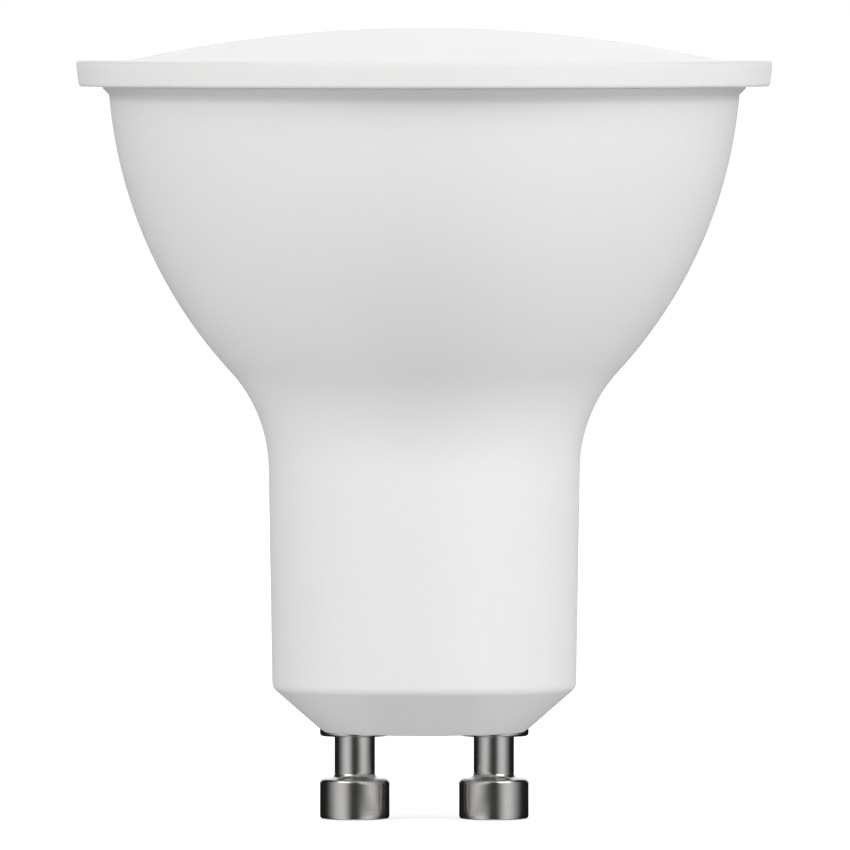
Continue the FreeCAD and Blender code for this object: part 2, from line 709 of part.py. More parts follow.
def make_housing(board_half_width):
    body = new_body("housing")
    turn(body, housing_profile(body))
    round_edges(body, s.bevel_edge_radius, ring(neck_foot_radius, neck_foot_level))
    round_edges(body, s.flat_edge_radius, ring(base_flat_radius, seat_level))

    bosses = new_sketch(body, "XY_Plane", z=floor_level)
    for side in (-1, 1):
        circle(bosses, side * pin_offset, 0, s.boss_diameter / 2)
    extrude(body, bosses, "Pad", s.boss_height)

    add_board_guides(body, board_half_width)

    holes = new_sketch(body, "XY_Plane", z=seat_level)
    for side in (-1, 1):
        circle(holes, side * pin_offset, 0, s.pin_shank_diameter / 2 + s.pin_fit)
    extrude(body, holes, "Pocket", s.floor_thickness + s.boss_height, reverse=True)
    recesses = new_sketch(body, "XY_Plane", z=seat_level)
    for side in (-1, 1):
        circle(recesses, side * pin_offset, 0, s.pin_collar_diameter / 2 + s.pin_collar_gap)
    extrude(body, recesses, "Pocket", s.pin_collar_height - s.pin_collar_proud, reverse=True)

    groove_top = mouth_level - s.groove_drop
    groove_foot = groove_top - s.groove_height
    groove_inside = bowl_radius_at(groove_foot, s.housing_wall) - s.groove_depth
    groove_outside = bowl_radius_at(groove_foot, s.housing_wall) + s.groove_depth
    groove = new_sketch(body, "XZ_Plane")
    polygon(
        groove,
        [
            (groove_inside, groove_foot),
            (groove_outside, groove_foot),
            (groove_outside, groove_top),
            (groove_inside, groove_top),
        ],
    )
    turn(body, groove, "Groove")
    return body


# Contact pins


def make_contact_pin(label, side):
    """A turned pin: head, stem, collar, shank and hollow tail, in one piece. It starts at its end."""
    head, stem = s.pin_head_diameter / 2, s.pin_stem_diameter / 2
    collar, shank, bore = s.pin_collar_diameter / 2, s.pin_shank_diameter / 2, s.pin_bore_diameter / 2
    collar_foot = seat_level - s.pin_collar_proud
    collar_top = collar_foot + s.pin_collar_height
    tail_end = floor_level + s.boss_height + s.pin_tail
    bore_end = tail_end - s.pin_bore_depth
    body = new_body(label)
    sketch = new_sketch(body, "XZ_Plane")
    polygon(
        sketch,
        [
            (0, 0),
            (head, 0),
            (head, s.pin_head_height),
            (stem, s.pin_head_height),
            (stem, collar_foot),
            (collar, collar_foot),
            (collar, collar_top),
            (shank, collar_top),
            (shank, tail_end),
            (bore, tail_end),
            (bore, bore_end),
            (0, bore_end),
        ],
    )
    turn(body, sketch)
    round_edges(body, s.pin_collar_radius, ring(collar, collar_foot))
    round_edges(
        body,
        s.pin_edge_radius,
        lambda edge: ring(head, 0)(edge) or ring(head, s.pin_head_height)(edge),
    )
    round_edges(body, s.pin_root_radius, ring(stem, s.pin_head_height))
    place(body, x=side * pin_offset)
    return body


# Cover


def skirt_outer_radius():
    return bowl_radius_at(led_level, s.housing_wall) - s.skirt_gap


def make_cover():
    """The dome, flange and skirt in one moulding. It starts at the flange's underside."""
    body = new_body("cover")
    skirt_outer = skirt_outer_radius()
    skirt_inner = skirt_outer - s.skirt_wall
    skirt_foot = led_level + s.skirt_seat_gap - mouth_level
    dome_radius = flange_radius - s.rim_width
    apex = s.flange_height + s.dome_rise
    sphere = (dome_radius * dome_radius + s.dome_rise * s.dome_rise) / (2 * s.dome_rise)
    ceiling = apex - s.cover_wall
    inner_sphere = sphere - s.cover_wall
    inner_edge_level = apex - sphere + leg(inner_sphere, skirt_inner)
    sketch = new_sketch(body, "XZ_Plane")
    path = [
        (0, ceiling),
        (0, apex),
        (dome_radius, s.flange_height),
        (flange_radius, s.flange_height),
        (flange_radius - s.flange_draft, 0),
        (skirt_outer, 0),
        (skirt_outer, skirt_foot),
        (skirt_inner, skirt_foot),
        (skirt_inner, inner_edge_level),
    ]
    middle = point(0, apex - sphere)
    axis = sketch.addGeometry(Part.LineSegment(point(*path[0]), point(*path[1])))
    dome = arc(sketch, middle, point(*path[2]), point(*path[1]))
    sides = [
        sketch.addGeometry(Part.LineSegment(point(*a), point(*b))) for a, b in zip(path[2:], path[3:])
    ]
    under = arc(sketch, middle, point(*path[-1]), point(*path[0]))
    join(sketch, "Coincident", axis, 2, dome, 2)
    join(sketch, "Coincident", dome, 1, sides[0], 1)
    for before, after in zip(sides, sides[1:]):
        join(sketch, "Coincident", before, 2, after, 1)
    join(sketch, "Coincident", sides[-1], 2, under, 1)
    join(sketch, "Coincident", under, 2, axis, 1)
    join(sketch, "Coincident", dome, 3, under, 3)
    tie_point(sketch, axis, 2, 0, apex)
    tie_point(sketch, dome, 3, 0, apex - sphere)
    for side, corner in zip(sides, path[2:]):
        if side == sides[0]:
            tie(sketch, "DistanceX", -1, 1, side, 1, size=corner[0])
        else:
            tie_point(sketch, side, 1, *corner)
    tie(sketch, "DistanceX", -1, 1, sides[-1], 2, size=skirt_inner)
    tie(sketch, "Radius", under, size=inner_sphere)
    turn(body, sketch)
    round_edges(body, s.dome_root_radius, ring(dome_radius, s.flange_height))
    round_edges(
        body,
        s.flange_edge_radius,
        lambda edge: ring(flange_radius, s.flange_height)(edge)
        or ring(flange_radius - s.flange_draft, 0)(edge),
    )

    half_pitch = FULL_TURN / 2 / s.slot_count
    # The cut is twice as deep as the wall, so that it goes right through
    slot = new_sketch(body, "XY_Plane", turned=half_pitch, z=skirt_foot)
    rectangle(slot, (skirt_inner + skirt_outer) / 2, 0, s.skirt_wall * 2, s.slot_width)
    cut = extrude(body, slot, "Pocket", -skirt_foot - s.slot_root, reverse=True)
    repeat_round(body, cut, s.slot_count)

    hook_top = -s.groove_drop - s.hook_gap
    hook_foot = hook_top - s.groove_height + s.hook_gap * 2
    groove_radius = bowl_radius_at(mouth_level - s.groove_drop - s.groove_height, s.housing_wall)
    hook_edge = groove_radius + s.groove_depth - s.hook_gap
    hook = new_sketch(body, "XZ_Plane")
    polygon(
        hook,
        [
            (skirt_outer - s.skirt_wall / 2, hook_foot),
            (skirt_outer, hook_foot),
            (hook_edge, (hook_top + hook_foot) / 2),
            (hook_edge, hook_top),
            (skirt_outer - s.skirt_wall / 2, hook_top),
        ],
    )
    barb = turn(body, hook, angle=s.hook_angle)
    repeat_round(body, barb, s.hook_count)
    place(body, z=mouth_level)
    return body


# Heat sink, LED board and LEDs


def bent_corner(sketch, inset, level, radius):
    """The rounded corner from a level line to the bowl's inset curve. Gives the arc and its two ends."""
    bowl_centre = point(centre.bowl_x, centre.bowl_z)
    reach = s.bowl_radius - inset - radius
    middle = point(centre.bowl_x + leg(reach, level - radius - centre.bowl_z), level - radius)
    on_line = middle + FreeCAD.Vector(0, radius.number, 0)
    on_bowl = middle + (middle - bowl_centre).normalize() * radius.number
    corner = arc(sketch, middle, on_bowl, on_line)
    tie(sketch, "Radius", corner, size=radius)
    return corner, on_line, on_bowl


def make_heat_sink():
    """A cup pressed from sheet, mouth down. Its side follows the bowl and its top takes the LED board."""
    body = new_body("heat_sink")
    outside = s.housing_wall + s.heat_fit
    inside = outside + s.heat_sheet
    top, under = light_level, light_level - s.heat_sheet
    foot = light_level - s.heat_skirt
    farthest_pin = hypotenuse(s.transformer_x + s.output_pin_spacing / 2, output_pin_y)
    opening = farthest_pin + s.output_pin_diameter / 2 + s.heat_opening_gap
    sketch = new_sketch(body, "XZ_Plane")
    middle = point(centre.bowl_x, centre.bowl_z)
    hem_outer = point(bowl_radius_at(foot, outside), foot)
    hem_inner = point(bowl_radius_at(foot, inside), foot)
    outer_bend, plate_end, outer_start = bent_corner(
        sketch, outside, top, s.heat_bend_radius + s.heat_sheet
    )
    inner_bend, under_end, inner_start = bent_corner(sketch, inside, under, s.heat_bend_radius)
    edge = sketch.addGeometry(Part.LineSegment(point(opening, under), point(opening, top)))
    plate = sketch.addGeometry(Part.LineSegment(point(opening, top), plate_end))
    outer = arc(sketch, middle, hem_outer, outer_start)
    hem = sketch.addGeometry(Part.LineSegment(hem_outer, hem_inner))
    inner = arc(sketch, middle, hem_inner, inner_start)
    underside = sketch.addGeometry(Part.LineSegment(under_end, point(opening, under)))
    join(sketch, "Coincident", edge, 2, plate, 1)
    join(sketch, "Tangent", plate, 2, outer_bend, 2)
    join(sketch, "Tangent", outer_bend, 1, outer, 2)
    join(sketch, "Coincident", outer, 1, hem, 1)
    join(sketch, "Coincident", hem, 2, inner, 1)
    join(sketch, "Tangent", inner, 2, inner_bend, 1)
    join(sketch, "Tangent", inner_bend, 2, underside, 1)
    join(sketch, "Coincident", underside, 2, edge, 1)
    join(sketch, "Coincident", outer, 3, inner, 3)
    tie_point(sketch, edge, 1, opening, under)
    tie_point(sketch, edge, 2, opening, top)
    tie_point(sketch, outer, 3, centre.bowl_x, centre.bowl_z)
    tie(sketch, "Radius", outer, size=s.bowl_radius - outside)
    tie(sketch, "Radius", inner, size=s.bowl_radius - inside)
    for line in (plate, hem, underside):
        sketch.addConstraint(Sketcher.Constraint("Horizontal", line))
    tie(sketch, "DistanceY", -1, 1, hem, 1, size=foot)
    turn(body, sketch)
    return body


def output_pin_places():
    """Where the two output pins stand, in plan."""
    return [(s.transformer_x + side * s.output_pin_spacing / 2, output_pin_y) for side in (-1, 1)]


def led_board_radius():
    return skirt_outer_radius() - s.skirt_wall + s.led_board_overlap


def make_led_board():
    body = new_body("led_board")
    sketch = new_sketch(body, "XY_Plane")
    circle(sketch, 0, 0, led_board_radius())
    for x, y in output_pin_places():
        circle(sketch, x, y, s.output_pin_diameter / 2 + s.lead_hole_gap)
    extrude(body, sketch, "Pad", s.led_board_thickness)
    place(body, z=light_level)
    return body


def make_led(number):
    """One LED package, with its long side along the board's radius."""
    body = new_body(f"led_{number + 1}")
    length, width = s.led_length, s.led_width
    base = new_sketch(body, "XY_Plane")
    polygon(
        base,
        [
            (-length / 2, -width / 2),
            (length / 2, -width / 2),
            (length / 2, width / 2 - s.led_corner),
            (length / 2 - s.led_corner, width / 2),
            (-length / 2, width / 2),
        ],
    )
    extrude(body, base, "Pad", s.led_height)
    window = new_sketch(body, "XY_Plane", z=s.led_height)
    circle(window, 0, 0, s.led_window_diameter / 2)
    extrude(body, window, "Pocket", s.led_window_depth)
    angle = FULL_TURN / s.led_count.number * number
    ring_radius = led_board_radius() - s.led_ring_inset
    across = ring_radius * math.cos(math.radians(angle))
    along = ring_radius * math.sin(math.radians(angle))
    place(body, x=across, y=along, z=led_level, angle=angle)
    return body


# Driver board and what stands on it


def place_on_board(body, x, up, face=FRONT):
    """Lays a component's own XY plane on the board's front or back, with its Z off the board."""
    y = s.driver_offset if face == FRONT else board_back
    place(body, x=x, y=y, z=board_foot + up, axis=(1, 0, 0), angle=90 * face)


def lead_reach():
    """How far a standing component's leads reach below the board's front face."""
    return s.driver_thickness + s.lead_stub


def lead_holes():
    """The board's holes as (across, up, lead diameter)."""
    fuse_reach = s.fuse_length / 2 + s.fuse_lead_run
    holes = []
    for side in (-1, 1):
        holes += [
            (side * pin_offset, s.input_lead_up, s.input_lead_diameter),
            (input_cap_x + side * s.input_cap_pitch / 2, input_row, s.input_cap_lead_diameter),
            (film_cap_x, film_cap_up + side * s.film_cap_pitch / 2, s.film_cap_lead_diameter),
            (s.fuse_x + side * fuse_reach, fuse_up, s.fuse_lead_diameter),
            (choke_x + side * s.choke_pitch / 2, transformer_up, s.choke_lead_diameter),
            (output_cap_x + side * s.output_cap_pitch / 2, transformer_up, s.output_cap_lead_diameter),
        ]
        for row in (-1, 1):
            x = s.transformer_x + side * transformer_pin_pitch / 2
            holes.append((x, transformer_up + row * transformer_row, s.transformer_pin_diameter))
    return holes


def board_neck_half_width():
    """Half the narrow part's width: the neck's narrowest chord at the board's back, less a gap."""
    return leg(neck_bore_radius, board_back) - s.driver_side_gap


def make_driver_board():
    """The board stands upright: narrow in the neck, with shoulders that widen into the bowl."""
    narrow = board_neck_half_width()
    shoulder_foot = flare_level + s.shoulder_rise - board_foot
    shoulder_top = shoulder_foot + s.driver_shoulder
    bowl_radius = bowl_radius_at(board_foot + shoulder_top, s.housing_wall)
    wide = leg(bowl_radius, board_back) - s.driver_bowl_gap
    body = new_body("driver_board")
    sketch = new_sketch(body, "XY_Plane")
    polygon(
        sketch,
        [
            (-narrow, 0),
            (narrow, 0),
            (narrow, shoulder_foot),
            (wide, shoulder_top),
            (wide, driver_height),
            (-wide, driver_height),
            (-wide, shoulder_top),
            (-narrow, shoulder_foot),
        ],
    )
    for x, up, diameter in lead_holes():
        circle(sketch, x, up, diameter / 2 + s.lead_hole_gap)
    extrude(body, sketch, "Pad", s.driver_thickness, reverse=True)
    place_on_board(body, 0, 0)
    return body


def make_input_lead(label, side):
    """A lead from a contact pin's bore up to the driver board."""
    foot = floor_level + s.boss_height + s.pin_tail - s.input_lead_insertion
    body = new_body(label)
    path = new_sketch(body, "YZ_Plane")
    elbow(
        path,
        (0, foot),
        (board_back + s.lead_stub, board_foot + s.input_lead_up),
        s.input_lead_bend,
        "Vertical",
    )
    profile = new_sketch(body, "XY_Plane", z=foot)
    circle(profile, 0, 0, s.input_lead_diameter / 2)
    pipe(body, profile, path)
    place(body, x=side * pin_offset)
    return body


def make_output_pin(label, spot):
    """A straight pin soldered to the driver board's back, up through the LED board."""
    foot = board_foot + driver_height - s.output_pin_overlap
    body = new_body(label)
    sketch = new_sketch(body, "XY_Plane")
    circle(sketch, 0, 0, s.output_pin_diameter / 2)
    extrude(body, sketch, "Pad", led_level + s.output_pin_proud - foot)
    place(body, x=spot[0], y=spot[1], z=foot)
    return body


def straight_leads(body, spots, diameter, level):
    """Leads from a level down through the board."""
    sketch = new_sketch(body, "XY_Plane", z=level)
    for x, y in spots:
        circle(sketch, x, y, diameter / 2)
    return extrude(body, sketch, "Pad", level + lead_reach(), reverse=True)


def can_outline(radius, length):
    """Half the section of a capacitor's can, from its foot, with the crimped groove round it."""
    crimp = s.crimp_depth
    return [
        (0, 0),
        (radius - crimp, 0),
        (radius, crimp),
        (radius, s.crimp_up - crimp),
        (radius - crimp, s.crimp_up),
        (radius, s.crimp_up + crimp),
        (radius, length - crimp),
        (radius - crimp, length),
        (0, length),
    ]


def make_input_capacitor():
    """A can that lies along the board, with its two leads bent down into it."""
    body = new_body("input_capacitor")
    radius = input_cap_radius
    height = radius + s.standoff
    foot = -s.input_cap_length / 2
    hole = foot - s.input_cap_lead_run
    can = new_sketch(body, "YZ_Plane", x=foot, y=height)
    polygon(can, [(along, r) for r, along in can_outline(radius, s.input_cap_length)])
    turn(body, can, axis="H_Axis")
    inside = foot + s.crimp_up / 2
    path = new_sketch(body, "YZ_Plane", z=s.input_cap_pitch / 2)
    elbow(path, (inside, height), (hole, -lead_reach()), s.lead_bend, "Horizontal")
    profile = new_sketch(body, "XZ_Plane", z=-inside)
    circle(profile, s.input_cap_pitch / 2, height, s.input_cap_lead_diameter / 2)
    mirror_across_x(body, pipe(body, profile, path))
    place_on_board(body, input_cap_x, input_cap_up)
    return body


def make_output_capacitor():
    body = new_body("output_capacitor")
    can = new_sketch(body, "XZ_Plane", y=s.standoff)
    polygon(can, can_outline(s.output_cap_diameter / 2, s.output_cap_height))
    turn(body, can)
    spots = [(side * s.output_cap_pitch / 2, 0) for side in (-1, 1)]
    straight_leads(body, spots, s.output_cap_lead_diameter, s.standoff)
    place_on_board(body, output_cap_x, transformer_up)
    return body


def make_film_capacitor():
    body = new_body("film_capacitor")
    box = new_sketch(body, "XY_Plane", z=s.standoff)
    rectangle(box, 0, 0, s.film_cap_width, s.film_cap_length)
    extrude(body, box, "Pad", s.film_cap_height)
    round_edges(body, s.film_cap_radius, along(Z_AXIS))
    spots = [(0, side * s.film_cap_pitch / 2) for side in (-1, 1)]
    straight_leads(body, spots, s.film_cap_lead_diameter, s.standoff)
    place_on_board(body, film_cap_x, film_cap_up)
    return body


def make_fusible_resistor():
    """An axial resistor across the board, fatter at its two end caps."""
    body = new_body("fusible_resistor")
    radius, half = s.fuse_diameter / 2, s.fuse_length / 2
    height = radius + s.standoff
    waist, cap = radius - s.crimp_depth, s.fuse_cap
    shape = new_sketch(body, "XZ_Plane", y=height)
    polygon(
        shape,
        [
            (-half, 0),
            (-half, radius),
            (cap - half, radius),
            (cap - half + s.crimp_depth, waist),
            (half - cap - s.crimp_depth, waist),
            (half - cap, radius),
            (half, radius),
            (half, 0),
        ],
    )
    turn(body, shape, axis="H_Axis")
    path = new_sketch(body, "XZ_Plane")
    elbow(path, (half - cap, height), (half + s.fuse_lead_run, -lead_reach()), s.lead_bend, "Horizontal")
    profile = new_sketch(body, "YZ_Plane", z=half - cap)
    circle(profile, 0, height, s.fuse_lead_diameter / 2)
    mirror_across_x(body, pipe(body, profile, path))
    place_on_board(body, s.fuse_x, fuse_up)
    return body


def make_choke():
    """A ferrite drum core with its leads, and the copper wound on it."""
    flange, waist = s.choke_diameter / 2, s.choke_waist_diameter / 2
    foot = s.standoff
    low, high = foot + s.choke_flange, foot + s.choke_height - s.choke_flange
    top = foot + s.choke_height
    core = new_body("choke_core")
    drum = new_sketch(core, "XZ_Plane")
    polygon(
        drum,
        [
            (0, foot),
            (flange, foot),
            (flange, low),
            (waist, low),
            (waist, high),
            (flange, high),
            (flange, top),
            (0, top),
        ],
    )
    turn(core, drum)
    spots = [(side * s.choke_pitch / 2, 0) for side in (-1, 1)]
    straight_leads(core, spots, s.choke_lead_diameter, foot)
    place_on_board(core, choke_x, transformer_up)
    winding = new_body("choke_winding")
    coil = new_sketch(winding, "XY_Plane", z=low)
    circle(coil, 0, 0, s.choke_winding_diameter / 2)
    circle(coil, 0, 0, waist)
    extrude(winding, coil, "Pad", high - low)
    place_on_board(winding, choke_x, transformer_up)


def transformer_levels():
    """The core's lower and upper faces, off the board."""
    return s.core_lift, s.core_lift + s.core_thickness


def make_transformer_core(label, side):
    """One half of the core: a back with two outer legs and a middle leg, which meet the other half's."""
    low, _ = transformer_levels()
    half_width, half_length = s.core_width / 2, s.core_length / 2
    inner = half_width - s.core_outer_leg
    middle = s.core_middle_leg / 2
    back = half_length - s.core_back
    body = new_body(label)
    sketch = new_sketch(body, "XY_Plane", z=low)
    corners = [
        (-half_width, 0),
        (-inner, 0),
        (-inner, back),
        (-middle, back),
        (-middle, 0),
        (middle, 0),
        (middle, back),
        (inner, back),
        (inner, 0),
        (half_width, 0),
        (half_width, half_length),
        (-half_width, half_length),
    ]
    polygon(sketch, [(x, side * y) for x, y in corners])
    extrude(body, sketch, "Pad", s.core_thickness)
    place_on_board(body, s.transformer_x, transformer_up)
    return body


def make_transformer_bobbin():
    """A square tube round the middle leg, with two flanges and two rails of pins under the core's backs."""
    low, high = transformer_levels()
    body = new_body("transformer_bobbin")
    bore_width = s.core_middle_leg + s.core_gap * 2
    bore_height = s.core_thickness + s.core_gap * 2
    tube_width = bore_width + s.bobbin_wall * 2
    tube_height = bore_height + s.bobbin_wall * 2
    window = s.core_width - s.core_outer_leg * 2 - s.core_gap * 2
    room = s.core_length - s.core_back * 2 - s.core_gap * 2
    middle = (low + high) / 2
    flange_height = s.core_thickness + s.bobbin_flange_proud * 2
    tube = new_sketch(body, "XZ_Plane")
    rectangle(tube, 0, middle, tube_width, tube_height)
    extrude(body, tube, "Pad", room, both_ways=True)
    for side in (-1, 1):
        flange = new_sketch(body, "XZ_Plane", z=side * (room / 2 - s.bobbin_wall / 2))
        rectangle(flange, 0, middle, window, flange_height)
        extrude(body, flange, "Pad", s.bobbin_wall, both_ways=True)
    rail_height = low - s.core_gap - s.standoff
    rail_inner = room / 2 - s.bobbin_wall
    rails = new_sketch(body, "XY_Plane", z=s.standoff)
    for side in (-1, 1):
        rectangle(
            rails,
            0,
            side * (rail_inner + s.core_length / 2) / 2,
            transformer_pin_pitch + s.transformer_pin_diameter + s.rail_margin * 2,
            s.core_length / 2 - rail_inner,
        )
    extrude(body, rails, "Pad", rail_height)
    bore = new_sketch(body, "XZ_Plane")
    rectangle(bore, 0, middle, bore_width, bore_height)
    extrude(body, bore, "Pocket", s.core_length, both_ways=True)
    spots = [
        (side * transformer_pin_pitch / 2, row * transformer_row)
        for side in (-1, 1)
        for row in (-1, 1)
    ]
    straight_leads(body, spots, s.transformer_pin_diameter, s.standoff)
    place_on_board(body, s.transformer_x, transformer_up)
    return body


def make_transformer_winding():
    """The wire and tape wound on the bobbin's tube, as one ring."""
    low, high = transformer_levels()
    tube_width = s.core_middle_leg + s.core_gap * 2 + s.bobbin_wall * 2
    tube_height = s.core_thickness + s.core_gap * 2 + s.bobbin_wall * 2
    window = s.core_width - s.core_outer_leg * 2 - s.core_gap * 2
    room = s.core_length - s.core_back * 2 - s.core_gap * 2 - s.bobbin_wall * 2
    flange_height = s.core_thickness + s.bobbin_flange_proud * 2
    middle = (low + high) / 2
    body = new_body("transformer_winding")
    coil = new_sketch(body, "XZ_Plane")
    rectangle(coil, 0, middle, window - s.winding_inset * 2, flange_height - s.winding_inset * 2)
    extrude(body, coil, "Pad", room, both_ways=True)
    round_edges(body, s.winding_radius, along(Y_AXIS))
    hollow = new_sketch(body, "XZ_Plane")
    rectangle(hollow, 0, middle, tube_width, tube_height)
    extrude(body, hollow, "Pocket", room, both_ways=True)
    place_on_board(body, s.transformer_x, transformer_up)
    return body


def make_package(label, x, up, length, width, height, legs, pitch, leg_width):
    """A moulded package with bent legs on both sides, soldered to the board's back."""
    body = new_body(label)
    box = new_sketch(body, "XY_Plane", z=s.package_lift)
    rectangle(box, 0, 0, width, length)
    extrude(body, box, "Pad", height - s.package_lift)
    metal = s.package_leg_thickness
    edge = width / 2
    middle = height / 2
    shape = new_sketch(body, "XZ_Plane", z=pitch * (legs - 1) / 2)
    for side in (-1, 1):
        outline = [
            (edge - metal, middle),
            (edge + metal, middle),
            (edge + metal, 0),
            (edge + metal * 2 + s.package_foot, 0),
            (edge + metal * 2 + s.package_foot, metal),
            (edge + metal * 2, metal),
            (edge + metal * 2, middle + metal),
            (edge - metal, middle + metal),
        ]
        polygon(shape, [(side * across, level) for across, level in outline])
    pair = extrude(body, shape, "Pad", leg_width, both_ways=True)
    if legs.number > 1:
        repeat_along_y(body, pair, legs, pitch)
    place_on_board(body, x, up, BACK)
    return body


def resistor_places():
    """Where the chip resistors sit on the board's back: across it, and above its foot."""
    first = bridge_up + s.bridge_length / 2 + s.back_row_gap + s.resistor_width / 2
    beside_cap = transformer_up - s.output_cap_lead_diameter / 2 - s.back_row_gap
    return [
        (input_cap_x, first),
        (input_cap_x, first + s.resistor_width + s.back_row_gap),
        (film_cap_x, film_cap_up),
        (output_cap_x, beside_cap - s.resistor_width / 2),
    ]


def make_chip_resistor(number, across, up):
    half, cap = s.resistor_length / 2, s.resistor_cap
    low, high = s.resistor_height, s.resistor_height + s.resistor_cap_proud
    body = new_body(f"chip_resistor_{number}")
    sketch = new_sketch(body, "XZ_Plane")
    polygon(
        sketch,
        [
            (-half, 0),
            (half, 0),
            (half, high),
            (half - cap, high),
            (half - cap, low),
            (cap - half, low),
            (cap - half, high),
            (-half, high),
        ],
    )
    extrude(body, sketch, "Pad", s.resistor_width, both_ways=True)
    place_on_board(body, across, up, BACK)
    return body


def make_driver():
    """The driver board with every component and lead on it."""
    make_driver_board()
    make_input_lead("input_lead_left", -1)
    make_input_lead("input_lead_right", 1)
    for label, spot in zip(("output_pin_left", "output_pin_right"), output_pin_places()):
        make_output_pin(label, spot)
    make_input_capacitor()
    make_output_capacitor()
    make_film_capacitor()
    make_fusible_resistor()
    make_choke()
    make_transformer_bobbin()
    make_transformer_winding()
    make_transformer_core("transformer_core_upper", 1)
    make_transformer_core("transformer_core_lower", -1)
    make_package(
        "bridge_rectifier",
        0,
        bridge_up,
        s.bridge_length,
        s.bridge_width,
        s.bridge_height,
        s.bridge_legs,
        s.bridge_pitch,
        s.bridge_leg_width,
    )
    make_package(
        "driver_chip",
        s.fuse_x,
        chip_up,
        s.chip_length,
        s.chip_width,
        s.chip_height,
        s.chip_legs,
        s.chip_pitch,
        s.chip_leg_width,
    )
    make_package(
        "output_diode",
        choke_x,
        diode_up,
        s.diode_length,
        s.diode_width,
        s.diode_height,
        s.diode_legs,
        s.diode_leg_width,
        s.diode_leg_width,
    )
    for number, (across, up) in enumerate(resistor_places(), start=1):
        make_chip_resistor(number, across, up)


# The whole lamp

make_housing(board_neck_half_width())
make_contact_pin("contact_pin_left", -1)
make_contact_pin("contact_pin_right", 1)
make_cover()
make_heat_sink()
make_led_board()
for led_number in range(int(s.led_count.number)):
    make_led(led_number)
make_driver()
doc.recompute()

for thing in doc.Objects:
    if "Invalid" in thing.State or "Error" in thing.State:
        raise RuntimeError(f"{thing.Label} did not build: {thing.State}")
for piece in pieces:
    if piece.Shape.isNull() or not piece.Shape.isValid() or not piece.Shape.Solids:
        raise RuntimeError(f"{piece.Label} has no valid solid")

os.makedirs("parts", exist_ok=True)
for piece in pieces:
    piece.Shape.exportStep(f"parts/{piece.Label}.step")
    print(f"{piece.Label}: {piece.Shape.Volume:.1f} mm3")
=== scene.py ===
"""Looks of the GU10 LED spotlight lamp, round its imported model.

The housing, the cover and the contact pins are built here as finer meshes that replace their CAD
nodes. The 32 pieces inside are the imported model's own, and get their materials. Then come the
floor, the studio lights and the camera.

Metres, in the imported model's frame: the origin is on the lamp's axis at the pins' ends, +Z is
towards the cover, and the contact pins lie along X. The camera looks along +Y.
"""

import math

import bmesh
import bpy
from mathutils import Matrix, Vector


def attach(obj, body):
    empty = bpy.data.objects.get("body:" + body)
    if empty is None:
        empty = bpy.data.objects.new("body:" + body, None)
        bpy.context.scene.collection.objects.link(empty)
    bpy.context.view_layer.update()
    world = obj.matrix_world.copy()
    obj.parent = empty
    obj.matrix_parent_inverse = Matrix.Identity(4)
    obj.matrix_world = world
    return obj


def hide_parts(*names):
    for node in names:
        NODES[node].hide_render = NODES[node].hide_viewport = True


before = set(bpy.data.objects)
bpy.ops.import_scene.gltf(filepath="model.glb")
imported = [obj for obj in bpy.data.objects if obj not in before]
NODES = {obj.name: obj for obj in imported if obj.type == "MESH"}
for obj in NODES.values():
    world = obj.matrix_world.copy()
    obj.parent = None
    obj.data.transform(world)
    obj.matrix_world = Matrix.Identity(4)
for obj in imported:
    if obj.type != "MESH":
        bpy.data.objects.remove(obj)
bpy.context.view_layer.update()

MM = 0.001

# Sizes in mm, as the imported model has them

# Housing. SEAT, GROOVE_TOP, GROOVE_FOOT and each LEVEL are heights over the pins' ends. BASE_FLAT,
# NECK_FOOT, NECK_TOP, MOUTH and LIP_EDGE are radii from the lamp's axis, and FLARE and BOWL are
# the radii of the two curves from the neck to the mouth.
SEAT = 6.3
BASE_FLAT = 7.25
NECK_FOOT = 10.93
NECK_FOOT_LEVEL = 9.5
NECK_TOP = 11.21
FLARE_LEVEL = 25.4
FLARE = 10.3
BOWL = 33.3
MOUTH = 22.65
LIP_LEVEL = 52.1
MOUTH_LEVEL = 52.7
LIP_EDGE = 23.25
WALL = 1.3
FLOOR_LEVEL = 8.3
GROOVE_TOP = 51.3
GROOVE_FOOT = 50.1
GROOVE_DEPTH = 0.45

# Bosses and holes for the pins, which stand at PIN_OFFSET from the lamp's axis. BOSS, RECESS and
# BORE are radii, and the rest are lengths up or down from the base or its inner floor. GATE_MARK,
# between the pins, has the radius and the height over the base of each corner.
PIN_OFFSET = 5.0
BOSS = 2.7
BOSS_RISE = 1.8
BOSS_ROOT = 0.5
RECESS = 2.65
RECESS_DEPTH = 0.5
BORE = 1.62
BORE_END = 3.0
GATE_MARK = (
    (0.0, -1.0), (1.35, -1.0), (1.35, -0.18), (0.85, 0.18), (0.4, 0.18), (0.32, 0.06), (0.0, 0.08),
)

# Guides for the driver board, each a slot in a rib at one side of the neck: a REACH is a distance
# from the lamp's axis along X, FRONT and BACK are places on Y, and FOOT and TOP are heights
GUIDE_REACH = 8.233
GUIDE_SIDE = 0.9
GUIDE_TOP = 24.0
SLOT_REACH = 8.933
SLOT_FRONT = 1.9
SLOT_BACK = 3.3
SLOT_FOOT = 13.0
SLOT_TOP = 24.5

# Contact pins: HEAD, STEM, COLLAR, SHANK and LEAD_BORE are radii, and the rest are heights
HEAD = 2.5
HEAD_TOP = 2.95
STEM = 1.45
COLLAR = 2.5
COLLAR_FOOT = 6.0
COLLAR_TOP = 6.8
SHANK = 1.6
TAIL_TOP = 11.5
LEAD_BORE = 0.65
LEAD_BORE_FOOT = 8.3
LEAD_BORE_TIP = 8.1

